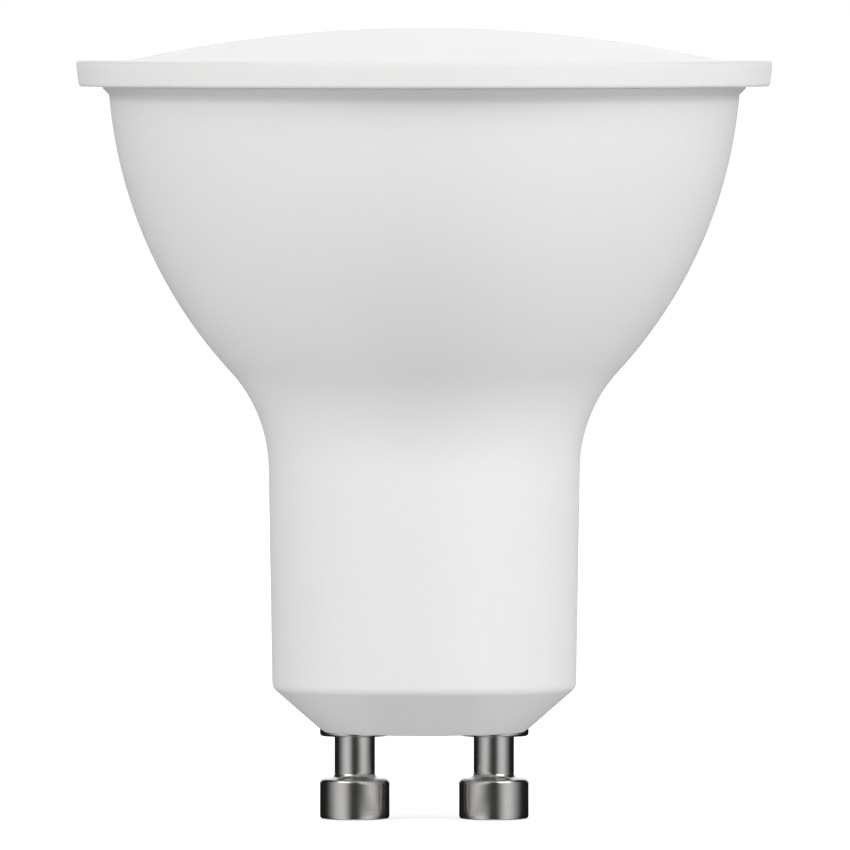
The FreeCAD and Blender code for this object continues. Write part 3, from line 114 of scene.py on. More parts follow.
# Cover: FLANGE_EDGE and DOME are radii from the lamp's axis, DOME_ROOT is the radius of the hollow
# curve at the dome's foot, and FLANGE_TOP, APEX, SKIRT_FOOT and SKIRT_GAP_LEVEL are heights
FLANGE_TOP = 54.58
FLANGE_EDGE = 25.045
FLANGE_DRAFT = 0.2
DOME = 21.4
DOME_ROOT = 6.5
APEX = 56.93
COVER_WALL = 1.5
SKIRT_WALL = 1.4
SKIRT_FOOT = 48.05
SKIRT_GAP = 0.2
SKIRT_GAP_LEVEL = 48.0
SKIRT_SLOTS = 8
SKIRT_SLOT_HALF = 0.5
HOOKS = 4
HOOK_HALF_DEGREES = 9
HOOK_GAP = 0.12

# Where the materials change, as heights. The painted shade on the flange's upper edge is full
# within
# EDGE_HALF of EDGE_LEVEL and gone at EDGE_FADE. The darker lip, flange side and upper edge are
# painted shade, fitted to the photograph's brightness. The shades of the lip, the flange and the
# edge are fitted to the photograph's brightness, which can't tell a duller material from less
# light.
LIP_PAINTED_SHADE_FOOT = 51.45
LIP_PAINTED_SHADE_TOP = 52.0
FLANGE_PAINTED_SHADE_FOOT = 54.36
EDGE_LEVEL = 54.45
EDGE_HALF = 0.06
EDGE_FADE = 0.125
MASK_LEVEL = 47.96

# The LEDs stand on a ring, each with a round window just under its top
LEDS = 8
LED_RING = 12.532
LED_WINDOW = 1.09
LED_WINDOW_LEVEL = 48.75
LED_WINDOW_DEPTH = 0.15

# The driver board's middle and the half of its thickness between its masks, on Y, and the pitches
# of its weave and of the choke's wire
BOARD_MIDDLE = 2.6
BOARD_MASK_HALF = 0.57
WEAVE_PITCH = 0.6
WIRE_PITCH = 0.25

# How finely turned shapes are divided, round the lamp and along their sections
AROUND = 256
PIN_AROUND = 160
HOLE_AROUND = 96
GATE_AROUND = 64
HOOK_PIECES = 14
CORNER_PIECES = 7
SHARP_ANGLE = math.radians(35)

# How far a cutting shape goes past what it cuts, how far it is turned, in steps, to keep its
# corners off the edges of what it cuts, and how close points are that count as one
PAST = 1.0
OFF_EDGE = 0.37
WELD = 0.001
CLOSE = 0.001


# Shader building


def add_node(tree, kind, **settings):
    """Adds a node of a kind, with its settings by name."""
    made = tree.nodes.new(kind)
    for name, value in settings.items():
        setattr(made, name, value)
    return made


def feed(tree, source, socket):
    """Links a socket to a source, or sets it to a plain value."""
    if isinstance(source, bpy.types.NodeSocket):
        tree.links.new(source, socket)
    else:
        socket.default_value = source


def calculate(tree, operation, *values):
    """What a mathematical operation makes of values, each a socket or a number."""
    made = add_node(tree, "ShaderNodeMath", operation=operation)
    for value, socket in zip(values, made.inputs):
        feed(tree, value, socket)
    return made.outputs[0]


def split_axes(tree, place):
    """The sockets X, Y and Z of a place."""
    split = add_node(tree, "ShaderNodeSeparateXYZ")
    feed(tree, place, split.inputs[0])
    return split.outputs


def remap(tree, value, low, high, to_low=0.0, to_high=1.0, smooth=False):
    """Value from low to high, mapped to to_low to to_high and held there."""
    kind = "SMOOTHSTEP" if smooth else "LINEAR"
    made = add_node(tree, "ShaderNodeMapRange", clamp=True, interpolation_type=kind)
    for source, name in (
        (value, "Value"),
        (low, "From Min"),
        (high, "From Max"),
        (to_low, "To Min"),
        (to_high, "To Max"),
    ):
        feed(tree, source, made.inputs[name])
    return made.outputs[0]


def mix_values(tree, share, first, second):
    """A number from first to second as share goes from 0 to 1."""
    made = add_node(tree, "ShaderNodeMix", data_type="FLOAT")
    for source, index in ((share, 0), (first, 2), (second, 3)):
        feed(tree, source, made.inputs[index])
    return made.outputs[0]


def mix_shaders(tree, share, first, second):
    """A shader from first to second as share goes from 0 to 1."""
    made = add_node(tree, "ShaderNodeMixShader")
    for source, socket in zip((share, first, second), made.inputs):
        feed(tree, source, socket)
    return made.outputs[0]


def light_path(tree, *names):
    """1 for rays of any of the named kinds, else 0."""
    path = add_node(tree, "ShaderNodeLightPath")
    total = path.outputs[names[0]]
    for name in names[1:]:
        total = calculate(tree, "MAXIMUM", total, path.outputs[name])
    return total


class Surface:
    """A material in the making: one Principled shader and the textures that feed it."""

    def __init__(self, slot, color, roughness, **inputs):
        """Starts with a plain colour and roughness, and other inputs by name with _ for a space."""
        self.material = bpy.data.materials.new(slot + "_look")
        self.material.use_nodes = True
        self.tree = self.material.node_tree
        self.shader = self.tree.nodes["Principled BSDF"]
        self.set("Base Color", (*color, 1.0))
        self.set("Roughness", roughness)
        for name, value in inputs.items():
            self.set(name.replace("_", " "), value)
        self.place = add_node(self.tree, "ShaderNodeTexCoord").outputs["Object"]
        self.height = None

    def set(self, name, source):
        """Feeds one of the shader's own inputs."""
        feed(self.tree, source, self.shader.inputs[name])

    def math(self, operation, *values):
        """What a mathematical operation makes of values."""
        return calculate(self.tree, operation, *values)

    def axis(self, name):
        """The place's coordinate on an axis, in metres."""
        return split_axes(self.tree, self.place)[name]

    def off(self, axis, centre):
        """Distance on an axis from a centre in mm, in metres."""
        return self.math("ABSOLUTE", self.math("SUBTRACT", self.axis(axis), centre * MM))

    def inside(self, axis, centre, half):
        """1 within half a length of a centre on an axis, in mm, else 0."""
        return self.math("LESS_THAN", self.off(axis, centre), half * MM)

    def hypotenuse(self, first, second):
        """The length of a step whose two parts are at right angles."""
        squares = [self.math("POWER", side, 2.0) for side in (first, second)]
        return self.math("SQRT", self.math("ADD", *squares))

    def wave(self, axis, pitch_mm):
        """A sine wave along an axis, from -1 to 1."""
        turns = self.math("MULTIPLY", self.axis(axis), 2 * math.pi / (pitch_mm * MM))
        return self.math("SINE", turns)

    def noise(self, grain_mm, detail=3.0, stretch=(1.0, 1.0, 1.0)):
        """Noise of a grain in mm, drawn out along the axes where stretch is over 1."""
        mapping = add_node(self.tree, "ShaderNodeMapping")
        feed(self.tree, self.place, mapping.inputs["Vector"])
        mapping.inputs["Scale"].default_value = [1 / (grain_mm * MM * s) for s in stretch]
        texture = add_node(self.tree, "ShaderNodeTexNoise")
        feed(self.tree, mapping.outputs[0], texture.inputs["Vector"])
        texture.inputs["Scale"].default_value = 1.0
        texture.inputs["Detail"].default_value = detail
        return texture.outputs["Fac"]

    def between(self, value, low, high, to_low=0.0, to_high=1.0, smooth=False):
        """Value from low to high, mapped to to_low to to_high and held there."""
        return remap(self.tree, value, low, high, to_low, to_high, smooth)

    def uneven(self, grain_mm, to_low, to_high):
        """Noise that goes from to_low to to_high, in most places."""
        return self.between(self.noise(grain_mm), 0.3, 0.7, to_low, to_high)

    def blend(self, share, first, second):
        """A colour from first to second as share goes from 0 to 1."""
        made = add_node(self.tree, "ShaderNodeMix", data_type="RGBA")
        feed(self.tree, share, made.inputs["Factor"])
        for source, name in ((first, "A"), (second, "B")):
            socket = [i for i in made.inputs if i.name == name and i.type == "RGBA"][0]
            feed(self.tree, (*source, 1.0) if isinstance(source, tuple) else source, socket)
        return [o for o in made.outputs if o.type == "RGBA"][0]

    def relief(self, height, depth_mm, strength=1.0):
        """Adds relief of a depth in mm, on top of any relief already there."""
        bump = add_node(self.tree, "ShaderNodeBump")
        bump.inputs["Distance"].default_value = depth_mm * MM
        bump.inputs["Strength"].default_value = strength
        feed(self.tree, height, bump.inputs["Height"])
        if self.height is not None:
            feed(self.tree, self.height, bump.inputs["Normal"])
        self.height = bump.outputs[0]
        self.set("Normal", self.height)


def dress(material, *nodes):
    """Gives CAD nodes a material in place of their plain one."""
    for name in nodes:
        for slot in NODES[name].material_slots:
            slot.material = material


# Materials


def housing_plastic():
    """Satin white moulding with the fine grain of an eroded mould, and painted shade near its lip.
    """
    look = Surface("housing_plastic", (0.88, 0.88, 0.878), 0.44, IOR=1.49)
    cloud = look.blend(look.noise(14.0, 2.0), (0.872, 0.873, 0.872), (0.888, 0.888, 0.886))
    # Painted shade: darkened towards grey in the last millimetre under the flange, which shades it
    lip = look.between(look.axis("Z"), LIP_PAINTED_SHADE_FOOT * MM, LIP_PAINTED_SHADE_TOP * MM, smooth=True)
    look.set("Base Color", look.blend(lip, cloud, (0.74, 0.74, 0.74)))
    look.set("Roughness", look.uneven(1.6, 0.41, 0.48))
    look.relief(look.noise(0.16, 4.0), 0.004, 0.6)
    return look.material


def cover_plastic():
    """Milky diffuser, which light goes into before it comes out again."""
    look = Surface(
        "cover_plastic",
        (0.93, 0.93, 0.926),
        0.5,
        IOR=1.5,
        Subsurface_Weight=0.35,
        Subsurface_Radius=(1.0, 0.97, 0.92),
        Subsurface_Scale=0.8 * MM,
    )
    cloud = look.noise(11.0, 2.0)
    dome = look.blend(cloud, (0.935, 0.936, 0.934), (0.945, 0.945, 0.941))
    # Painted shade: a darker copy of the dome's white for the flange's side, blended in under its
    # top
    side = look.blend(cloud, (0.882, 0.883, 0.881), (0.892, 0.892, 0.888))
    level = look.axis("Z")
    flange = look.between(level, FLANGE_PAINTED_SHADE_FOOT * MM, FLANGE_TOP * MM, 1.0, 0.0, smooth=True)
    # Painted shade: the upper edge faces the light, and is darkened to render no lighter than the
    # side
    off = look.off("Z", EDGE_LEVEL)
    edge = look.between(off, EDGE_HALF * MM, EDGE_FADE * MM, 1.0, 0.0, smooth=True)
    plain = look.blend(flange, dome, side)
    look.set("Base Color", look.blend(edge, plain, (0.805, 0.805, 0.802)))
    look.set("Roughness", look.uneven(2.0, 0.47, 0.54))
    look.relief(look.noise(0.2, 3.0), 0.003, 0.5)
    return look.material


def nickel_plate():
    """Bright nickel over turned brass, with the rings that the tool left."""
    look = Surface("nickel_plate", (0.65, 0.645, 0.635), 0.2, Metallic=1.0)
    rings = look.noise(0.05, 2.0, stretch=(60.0, 60.0, 1.0))
    cloud = look.noise(0.9, 3.0)
    look.set("Base Color", look.blend(cloud, (0.61, 0.605, 0.59), (0.69, 0.685, 0.675)))
    look.set("Roughness", look.between(rings, 0.3, 0.7, 0.15, 0.23))
    look.relief(rings, 0.003, 0.4)
    look.relief(look.noise(0.4, 3.0), 0.002, 0.3)
    return look.material


TIN = (0.66, 0.66, 0.645)
TIN_ROUGHNESS = 0.3


def component(slot, dark, light, grain_mm, roughness, leads=None, stripe=None, **inputs):
    """A material with mottled colour, and with tinned leads beyond half a length from a centre."""
    look = Surface(slot, light, roughness, **inputs)
    mottle = look.noise(grain_mm, 4.0)
    color = look.blend(look.between(mottle, 0.3, 0.7), dark, light)
    rough = look.uneven(grain_mm * 1.7, roughness - 0.05, roughness + 0.05)
    if stripe:
        axis, start, end, paint = stripe
        painted = look.inside(axis, (start + end) / 2, (end - start) / 2)
        color = look.blend(painted, color, paint)
    if leads:
        axis, centre, half = leads
        bare = look.math("SUBTRACT", 1.0, look.inside(axis, centre, half))
        color = look.blend(bare, color, TIN)
        rough = look.between(bare, 0.0, 1.0, rough, TIN_ROUGHNESS)
        look.set("Metallic", bare)
    look.set("Base Color", color)
    look.set("Roughness", rough)
    look.relief(mottle, 0.01, 0.5)
    return look


def pressed_aluminium():
    """Mill finish, with the faint rings that deep drawing leaves."""
    dark, light = (0.72, 0.73, 0.745), (0.8, 0.81, 0.82)
    look = component("heat_sink_aluminium", dark, light, 1.5, 0.36, Metallic=1.0)
    look.relief(look.noise(0.12, 3.0, stretch=(40.0, 40.0, 1.0)), 0.006, 0.5)
    return look.material


def led_board_mask():
    """White solder mask over bare aluminium."""
    look = Surface("led_board_mask", (0.9, 0.9, 0.885), 0.4)
    bare = look.math("LESS_THAN", look.axis("Z"), MASK_LEVEL * MM)
    mask = look.blend(look.noise(3.0, 3.0), (0.88, 0.88, 0.86), (0.92, 0.92, 0.91))
    look.set("Base Color", look.blend(bare, mask, (0.76, 0.77, 0.78)))
    look.set("Metallic", bare)
    look.set("Roughness", look.uneven(0.8, 0.32, 0.46))
    look.relief(look.noise(0.3, 3.0), 0.01, 0.4)
    return look.material


def led_package():
    """White case round a window of yellow phosphor, the same for each LED of the ring."""
    look = Surface("led_phosphor", (0.92, 0.92, 0.9), 0.4)
    x, y = look.axis("X"), look.axis("Y")
    # The turn from the nearest LED's own direction, and the place along that direction and aside
    half_step = math.pi / LEDS
    turn = look.math("WRAP", look.math("ARCTAN2", y, x), half_step, -half_step)
    reach = look.hypotenuse(x, y)
    forward = look.math("MULTIPLY", reach, look.math("COSINE", turn))
    along = look.math("SUBTRACT", forward, LED_RING * MM)
    aside = look.math("MULTIPLY", reach, look.math("SINE", turn))
    off = look.hypotenuse(along, aside)
    low = look.math("LESS_THAN", look.axis("Z"), LED_WINDOW_LEVEL * MM)
    high = look.math("GREATER_THAN", look.axis("Z"), (LED_WINDOW_LEVEL - LED_WINDOW_DEPTH) * MM)
    within = look.math("LESS_THAN", off, LED_WINDOW * MM)
    window = look.math("MULTIPLY", within, look.math("MULTIPLY", low, high))
    gel = look.blend(look.noise(0.25, 3.0), (0.83, 0.6, 0.1), (0.9, 0.7, 0.2))
    case = look.blend(look.noise(0.6, 3.0), (0.88, 0.88, 0.86), (0.94, 0.94, 0.93))
    look.set("Base Color", look.blend(window, case, gel))
    look.set("Roughness", look.between(window, 0.0, 1.0, look.uneven(0.5, 0.35, 0.5), 0.25))
    look.relief(look.noise(0.15, 3.0), 0.004, 0.4)
    return look.material


def board_laminate():
    """Green solder mask over woven glass, which shows pale at the cut edges."""
    look = Surface("board_laminate", (0.05, 0.22, 0.09), 0.35)
    weave = look.math("ADD", look.wave("X", WEAVE_PITCH), look.wave("Z", WEAVE_PITCH))
    face = look.blend(look.between(weave, -2.0, 2.0), (0.045, 0.2, 0.08), (0.06, 0.25, 0.11))
    threads = look.noise(0.2, 4.0, stretch=(6.0, 1.0, 6.0))
    edge = look.blend(threads, (0.5, 0.5, 0.33), (0.62, 0.61, 0.42))
    cut = look.inside("Y", BOARD_MIDDLE, BOARD_MASK_HALF)
    look.set("Base Color", look.blend(cut, face, edge))
    look.set("Roughness", look.between(cut, 0.0, 1.0, look.uneven(1.5, 0.28, 0.4), 0.8))
    look.relief(weave, 0.004, 0.5)
    return look.material


def wound_wire():
    """Enamelled copper, laid turn beside turn."""
    dark, light = (0.5, 0.2, 0.07), (0.62, 0.28, 0.11)
    look = component("enamelled_copper", dark, light, 0.7, 0.3, Metallic=0.9)
    look.relief(look.wave("Y", WIRE_PITCH), 0.05, 1.0)
    return look.material


def wrapped_tape():
    """Yellow polyester tape with the edge of its last turn."""
    dark, light = (0.78, 0.56, 0.08), (0.85, 0.64, 0.12)
    look = component("winding_tape", dark, light, 2.5, 0.3, Coat_Weight=0.3)
    look.relief(look.inside("X", 2.4, 1.6), 0.05, 0.6)
    look.relief(look.noise(0.4, 2.0, stretch=(1.0, 1.0, 5.0)), 0.02, 0.5)
    return look.material


# The painted rings of the fusible resistor: place on the X axis in mm, and colour
FUSE_RINGS = (1.1, (0.35, 0.12, 0.03)), (2.2, (0.02, 0.02, 0.02)), (3.3, (0.5, 0.3, 0.05))
FUSE_RING_HALF = 0.25


def fuse_coat():
    """Cement coat with painted rings, tinned leads at both ends."""
    dark, light = (0.2, 0.34, 0.4), (0.26, 0.42, 0.48)
    look = component("resistor_coat", dark, light, 0.3, 0.7, leads=("X", 2.8, 3.22))
    color = look.shader.inputs["Base Color"].links[0].from_socket
    for centre, paint in FUSE_RINGS:
        color = look.blend(look.inside("X", centre, FUSE_RING_HALF), color, paint)
    look.set("Base Color", color)
    return look.material


# The pieces inside: slot, colours from dark to light, grain in mm, roughness, nodes with the place
# of their leads (the axis that they leave along, and the body's centre and half length on it in mm)
LAMP_PARTS = [
    ("tinned_wire", (0.6, 0.6, 0.585), (0.7, 0.7, 0.69), 0.8, TIN_ROUGHNESS, {
        "input_lead_left": None,
        "input_lead_right": None,
        "output_pin_left": None,
        "output_pin_right": None,
    }),
    ("film_capacitor_case", (0.42, 0.1, 0.045), (0.5, 0.14, 0.06), 1.2, 0.28, {
        "film_capacitor": ("Y", -1.95, 3.77),
    }),
    ("ferrite", (0.09, 0.09, 0.095), (0.15, 0.15, 0.155), 0.25, 0.6, {
        "choke_core": ("Y", -1.5, 3.32),
        "transformer_core_upper": None,
        "transformer_core_lower": None,
    }),
    ("bobbin_plastic", (0.035, 0.035, 0.035), (0.06, 0.06, 0.06), 0.9, 0.45, {
        "transformer_bobbin": ("Y", -2.4, 4.2),
    }),
    ("package_plastic", (0.03, 0.03, 0.033), (0.055, 0.055, 0.06), 0.2, 0.6, {
        "bridge_rectifier": ("X", 0.0, 1.96),
        "driver_chip": ("X", 2.8, 1.96),
        "output_diode": ("X", -7.7, 2.16),
    }),
    ("chip_resistor_ceramic", (0.03, 0.03, 0.03), (0.07, 0.07, 0.07), 0.3, 0.4, {
        "chip_resistor_1": ("X", -4.41, 1.15),
        "chip_resistor_2": ("X", -4.41, 1.15),
        "chip_resistor_3": ("X", 4.62, 1.15),
        "chip_resistor_4": ("X", 9.65, 1.15),
    }),
]
SLEEVE = (0.02, 0.022, 0.05), (0.035, 0.04, 0.08), 1.5, 0.35
STRIPE = (0.6, 0.62, 0.66)

# The sealed cans: leads as above, and the stripe's axis and its place on it in mm
CANS = {
    "input_capacitor": (("Z", 23.2, 5.93), ("X", -8.5, -7.3, STRIPE)),
    "output_capacitor": (("Y", -2.2, 3.93), ("X", 11.8, 12.9, STRIPE)),
}


def dress_inside():
    """Gives the 32 pieces inside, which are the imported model's own, their materials."""
    dress(pressed_aluminium(), "heat_sink")
    dress(led_board_mask(), "led_board")
    dress(led_package(), *[f"led_{i + 1}" for i in range(LEDS)])
    dress(board_laminate(), "driver_board")
    dress(wound_wire(), "choke_winding")
    dress(wrapped_tape(), "transformer_winding")
    dress(fuse_coat(), "fusible_resistor")
    for node, (leads, stripe) in CANS.items():
        dress(component("capacitor_sleeve", *SLEEVE, leads, stripe).material, node)
    for slot, dark, light, grain_mm, roughness, nodes in LAMP_PARTS:
        for node, leads in nodes.items():
            metal = 1.0 if slot == "tinned_wire" else 0.0
            look = component(slot, dark, light, grain_mm, roughness, leads, Metallic=metal)
            dress(look.material, node)


# Turned and moulded shapes


class Profile:
    """Half a section: points (radius, height) in mm, laid from one end to the other."""

    # A rounded corner has a short run of its own on each side, which keeps its shading off the
    # faces beside it: this share of its radius, and this much at most
    HOLD_SHARE = 0.25
    HOLD_MOST = 0.08

    def __init__(self, r, z):
        self.points = [Vector((r, z))]

    def line(self, r, z, step=1.0):
        """A straight run to (r, z), in pieces no longer than a step."""
        start, end = self.points[-1], Vector((r, z))
        count = max(1, math.ceil((end - start).length / step))
        self.points += [start.lerp(end, (i + 1) / count) for i in range(count)]

    def arc(self, centre, r, z, step=0.45):
        """An arc round a centre to (r, z), the short way."""
        start, end = self.points[-1], Vector((r, z))
        first = math.atan2(*(start - centre).yx)
        last = math.atan2(*(end - centre).yx)
        sweep = (last - first + math.pi) % (2 * math.pi) - math.pi
        radius = (start - centre).length
        self.turn(centre, radius, first, sweep, max(3, math.ceil(abs(sweep) * radius / step)))

    def turn(self, centre, radius, first, sweep, count):
        """Points on a circle, through a sweep from the angle where it starts."""
        for i in range(1, count + 1):
            angle = first + sweep * i / count
            self.points.append(centre + Vector((math.cos(angle), math.sin(angle))) * radius)

    def corner(self, r, z, towards, radius, step=1.0):
        """On to (r, z), rounded off there with a radius, and away towards the next point."""
        at, beyond = Vector((r, z)), Vector(towards)
        if (self.points[-1] - at).length < CLOSE:
            self.points.pop()
        comes = (at - self.points[-1]).normalized()
        leaves = (beyond - at).normalized()
        bend = comes.angle(leaves)
        run = radius * math.tan(bend / 2)
        first, last = at - comes * run, at + leaves * run
        side = 1 if comes.cross(leaves) > 0 else -1
        centre = first + Vector((-comes.y, comes.x)) * side * radius
        hold = min(radius * self.HOLD_SHARE, self.HOLD_MOST)
        self.line(*(first - comes * hold), step)
        self.line(*first)
        start = math.atan2(*(first - centre).yx)
        self.turn(centre, radius, start, side * bend, CORNER_PIECES)
        self.line(*(last + leaves * hold))


def add_mesh(name, vertices, faces):
    """Adds an object with a mesh of its own, in metres."""
    mesh = bpy.data.meshes.new(name)
    mesh.from_pydata([tuple(v) for v in vertices], [], faces)
    mesh.update()
    made = bpy.data.objects.new(name, mesh)
    bpy.context.scene.collection.objects.link(made)
    return made


def revolve(name, points, around=AROUND, x=0.0, phase=0.0):
    """Turns points (radius, height) in mm about the vertical axis through x, into a mesh in metres.

    A phase, in steps, keeps a cutting shape's corners off the edges of what it cuts.
    """
    vertices, rings = [], []
    for r, z in points:
        ring_start = len(vertices)
        if r < 1e-6:
            vertices.append((x * MM, 0.0, z * MM))
            rings.append([ring_start] * around)
            continue
        for i in range(around):
            angle = 2 * math.pi * (i + phase) / around
            vertices.append(((x + r * math.cos(angle)) * MM, r * math.sin(angle) * MM, z * MM))
        rings.append(list(range(ring_start, ring_start + around)))
    faces = []
    for low, high in zip(rings, rings[1:]):
        for i in range(around):
            j = (i + 1) % around
            corners = (low[i], low[j], high[j], high[i])
            faces.append(tuple(dict.fromkeys(corners)))
    return add_mesh(name, vertices, faces)


def cutter(name, corners, around, x=0.0):
    """A turned shape with plain corners (radius, height) in mm, to be cut out of another."""
    path = Profile(*corners[0])
    for r, z in corners[1:]:
        path.line(r, z)
    return revolve(name, path.points, around, x, OFF_EDGE)


def prism(name, outline, low, high):
    """An outline of (x, y) points in mm, drawn out from one level to another."""
    count = len(outline)
    vertices = [(x * MM, y * MM, level * MM) for level in (low, high) for x, y in outline]
    faces = [tuple(range(count))[::-1], tuple(range(count, 2 * count))]
    for i in range(count):
        j = (i + 1) % count
        faces.append((i, j, count + j, count + i))
    return add_mesh(name, vertices, faces)


def swept(name, section, first, last, count):
    """Sweeps (radius, height) points in mm round the lamp's axis, through part of a turn."""
    size = len(section)
    vertices = []
    for i in range(count + 1):
        angle = first + (last - first) * i / count
        turned = math.cos(angle) * MM, math.sin(angle) * MM
        vertices += [(r * turned[0], r * turned[1], z * MM) for r, z in section]
    faces = [tuple(range(size)), tuple(range(count * size, (count + 1) * size))[::-1]]
    for i in range(count):
        for k in range(size):
            a, b = i * size + k, i * size + (k + 1) % size
            faces.append((a, b, b + size, a + size))
    return add_mesh(name, vertices, faces)


def tidy_normals(piece):
    """Faces outwards, shaded smooth with sharp edges kept."""
    work = bmesh.new()
    work.from_mesh(piece.data)
    bmesh.ops.recalc_face_normals(work, faces=work.faces)
    work.to_mesh(piece.data)
    work.free()
    piece.data.polygons.foreach_set("use_smooth", [True] * len(piece.data.polygons))
    piece.data.set_sharp_from_angle(angle=SHARP_ANGLE)


def weld(mesh):
    """Joins the corners that a cut leaves all but on top of each other."""
    work = bmesh.new()
    work.from_mesh(mesh)
    bmesh.ops.remove_doubles(work, verts=work.verts, dist=WELD)
    bmesh.ops.dissolve_degenerate(work, edges=work.edges, dist=WELD)
    work.to_mesh(mesh)
    work.free()


def combine(piece, operation, *others):
    """Adds shapes to a piece or cuts them out of it, in millimetres for the sake of precision."""
    for shape in (piece, *others):
        shape.data.transform(Matrix.Scale(1 / MM, 4))
    for other in others:
        tidy_normals(other)
        modifier = piece.modifiers.new(operation, "BOOLEAN")
        modifier.operation = operation
        modifier.object = other
        modifier.solver = "EXACT"
    shaped = piece.evaluated_get(bpy.context.evaluated_depsgraph_get())
    mesh = bpy.data.meshes.new_from_object(shaped)
    piece.modifiers.clear()
    piece.data = mesh
    weld(mesh)
    mesh.transform(Matrix.Scale(MM, 4))
    for other in others:
        bpy.data.objects.remove(other)


def settle(piece, material, node):
    """Gives a piece its material and its body, and hides the CAD node that it stands for."""
    tidy_normals(piece)
    piece.data.materials.clear()
    piece.data.materials.append(material)
    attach(piece, "root")
    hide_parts(node)


# Housing


def curve_centres():
    """Where the centres of the flare and of the bowl lie."""
    foot, top = Vector((NECK_FOOT, NECK_FOOT_LEVEL)), Vector((NECK_TOP, FLARE_LEVEL))
    lip = Vector((MOUTH, LIP_LEVEL))
    along = (top - foot).normalized()
    flare = top + Vector((along.y, -along.x)) * FLARE
    reach = FLARE + BOWL
    span = lip - flare
    near = (reach**2 - BOWL**2 + span.length**2) / (2 * span.length)
    aside = math.sqrt(reach**2 - near**2)
    unit = span.normalized()
    return flare, flare + unit * near + Vector((-unit.y, unit.x)) * aside


FLARE_CENTRE, BOWL_CENTRE = curve_centres()


def bowl_radius_at(level, inset):
    """Radius from the lamp's axis to the bowl's curve at a level, moved inward by an inset."""
    return BOWL_CENTRE.x + math.sqrt((BOWL - inset) ** 2 - (level - BOWL_CENTRE.y) ** 2)


def meeting(inset):
    """Where the flare runs into the bowl, moved inward by an inset."""
    return FLARE_CENTRE + (BOWL_CENTRE - FLARE_CENTRE).normalized() * (FLARE + inset)


def housing_shell():
    """The turned wall of the housing, from the base's middle round the lip and back inside."""
    rise = NECK_FOOT_LEVEL - SEAT
    slope = (NECK_FOOT - BASE_FLAT) / rise
    across = WALL * math.hypot(NECK_FOOT - BASE_FLAT, rise) / rise
    inner_foot = NECK_FOOT_LEVEL + (across - WALL) / slope
    inner_floor = BASE_FLAT + (FLOOR_LEVEL - SEAT) * slope - across
    rim = bowl_radius_at(MOUTH_LEVEL, WALL)
    groove_root = bowl_radius_at(GROOVE_FOOT, WALL)
    groove = groove_root + GROOVE_DEPTH

    path = Profile(0.0, SEAT)
    path.corner(BASE_FLAT, SEAT, (NECK_FOOT, NECK_FOOT_LEVEL), radius=0.4)
    path.corner(NECK_FOOT, NECK_FOOT_LEVEL, (NECK_TOP, FLARE_LEVEL), radius=0.8)
    path.line(NECK_TOP, FLARE_LEVEL, step=0.9)
    path.arc(FLARE_CENTRE, *meeting(0.0))
    path.arc(BOWL_CENTRE, MOUTH, LIP_LEVEL)
    path.corner(MOUTH, LIP_LEVEL, (LIP_EDGE, MOUTH_LEVEL), radius=0.12)
    path.corner(LIP_EDGE, MOUTH_LEVEL, (rim, MOUTH_LEVEL), radius=0.1)
    path.corner(rim, MOUTH_LEVEL, (rim, GROOVE_TOP), radius=0.1)
    path.arc(BOWL_CENTRE, bowl_radius_at(GROOVE_TOP, WALL), GROOVE_TOP)
    path.line(groove, GROOVE_TOP)
    path.line(groove, GROOVE_FOOT)
    path.line(groove_root, GROOVE_FOOT)
    path.arc(BOWL_CENTRE, *meeting(WALL), step=0.8)
    path.arc(FLARE_CENTRE, NECK_TOP - WALL, FLARE_LEVEL, step=0.8)
    path.corner(NECK_FOOT - WALL, inner_foot, (inner_floor, FLOOR_LEVEL), radius=0.4, step=1.6)
    path.corner(inner_floor, FLOOR_LEVEL, (0.0, FLOOR_LEVEL), radius=0.2)
    path.line(0.0, FLOOR_LEVEL, step=1.5)
    shell = revolve("housing_moulding", path.points)
    tidy_normals(shell)
    return shell


def guide_and_slot(side, name):
    """A rib on the neck's wall for one edge of the driver board, and the slot to be cut in it."""
    middle = NECK_FOOT - WALL / 2
    front, back = SLOT_FRONT - GUIDE_SIDE, SLOT_BACK + GUIDE_SIDE
    outline = [
        (side * GUIDE_REACH, front),
        (side * math.sqrt(middle**2 - front**2), front),
        (side * math.sqrt(middle**2 - back**2), back),
        (side * GUIDE_REACH, back),
    ]
    guide = prism("guide_" + name, outline, NECK_FOOT_LEVEL, GUIDE_TOP)
    outline = [
        (side * (GUIDE_REACH - PAST), SLOT_FRONT),
        (side * SLOT_REACH, SLOT_FRONT),
        (side * SLOT_REACH, SLOT_BACK),
        (side * (GUIDE_REACH - PAST), SLOT_BACK),
    ]
    return guide, prism("slot_" + name, outline, SLOT_FOOT, SLOT_TOP)


def boss_and_hole(side, name):
    """A boss inside the base for one pin, and the recess and bore to be cut through both."""
    top = FLOOR_LEVEL + BOSS_RISE
    path = Profile(0.0, FLOOR_LEVEL - BOSS_ROOT)
    path.line(BOSS, FLOOR_LEVEL - BOSS_ROOT)
    path.corner(BOSS, top, (0.0, top), radius=0.15)
    path.line(0.0, top)
    boss = revolve("boss_" + name, path.points, HOLE_AROUND, side * PIN_OFFSET)
    corners = [
        (0.0, SEAT - PAST),
        (RECESS, SEAT - PAST),
        (RECESS, SEAT + RECESS_DEPTH),
        (BORE, SEAT + RECESS_DEPTH),
        (BORE, FLOOR_LEVEL + BORE_END),
        (0.0, FLOOR_LEVEL + BORE_END),
    ]
    return boss, cutter("hole_" + name, corners, HOLE_AROUND, side * PIN_OFFSET)


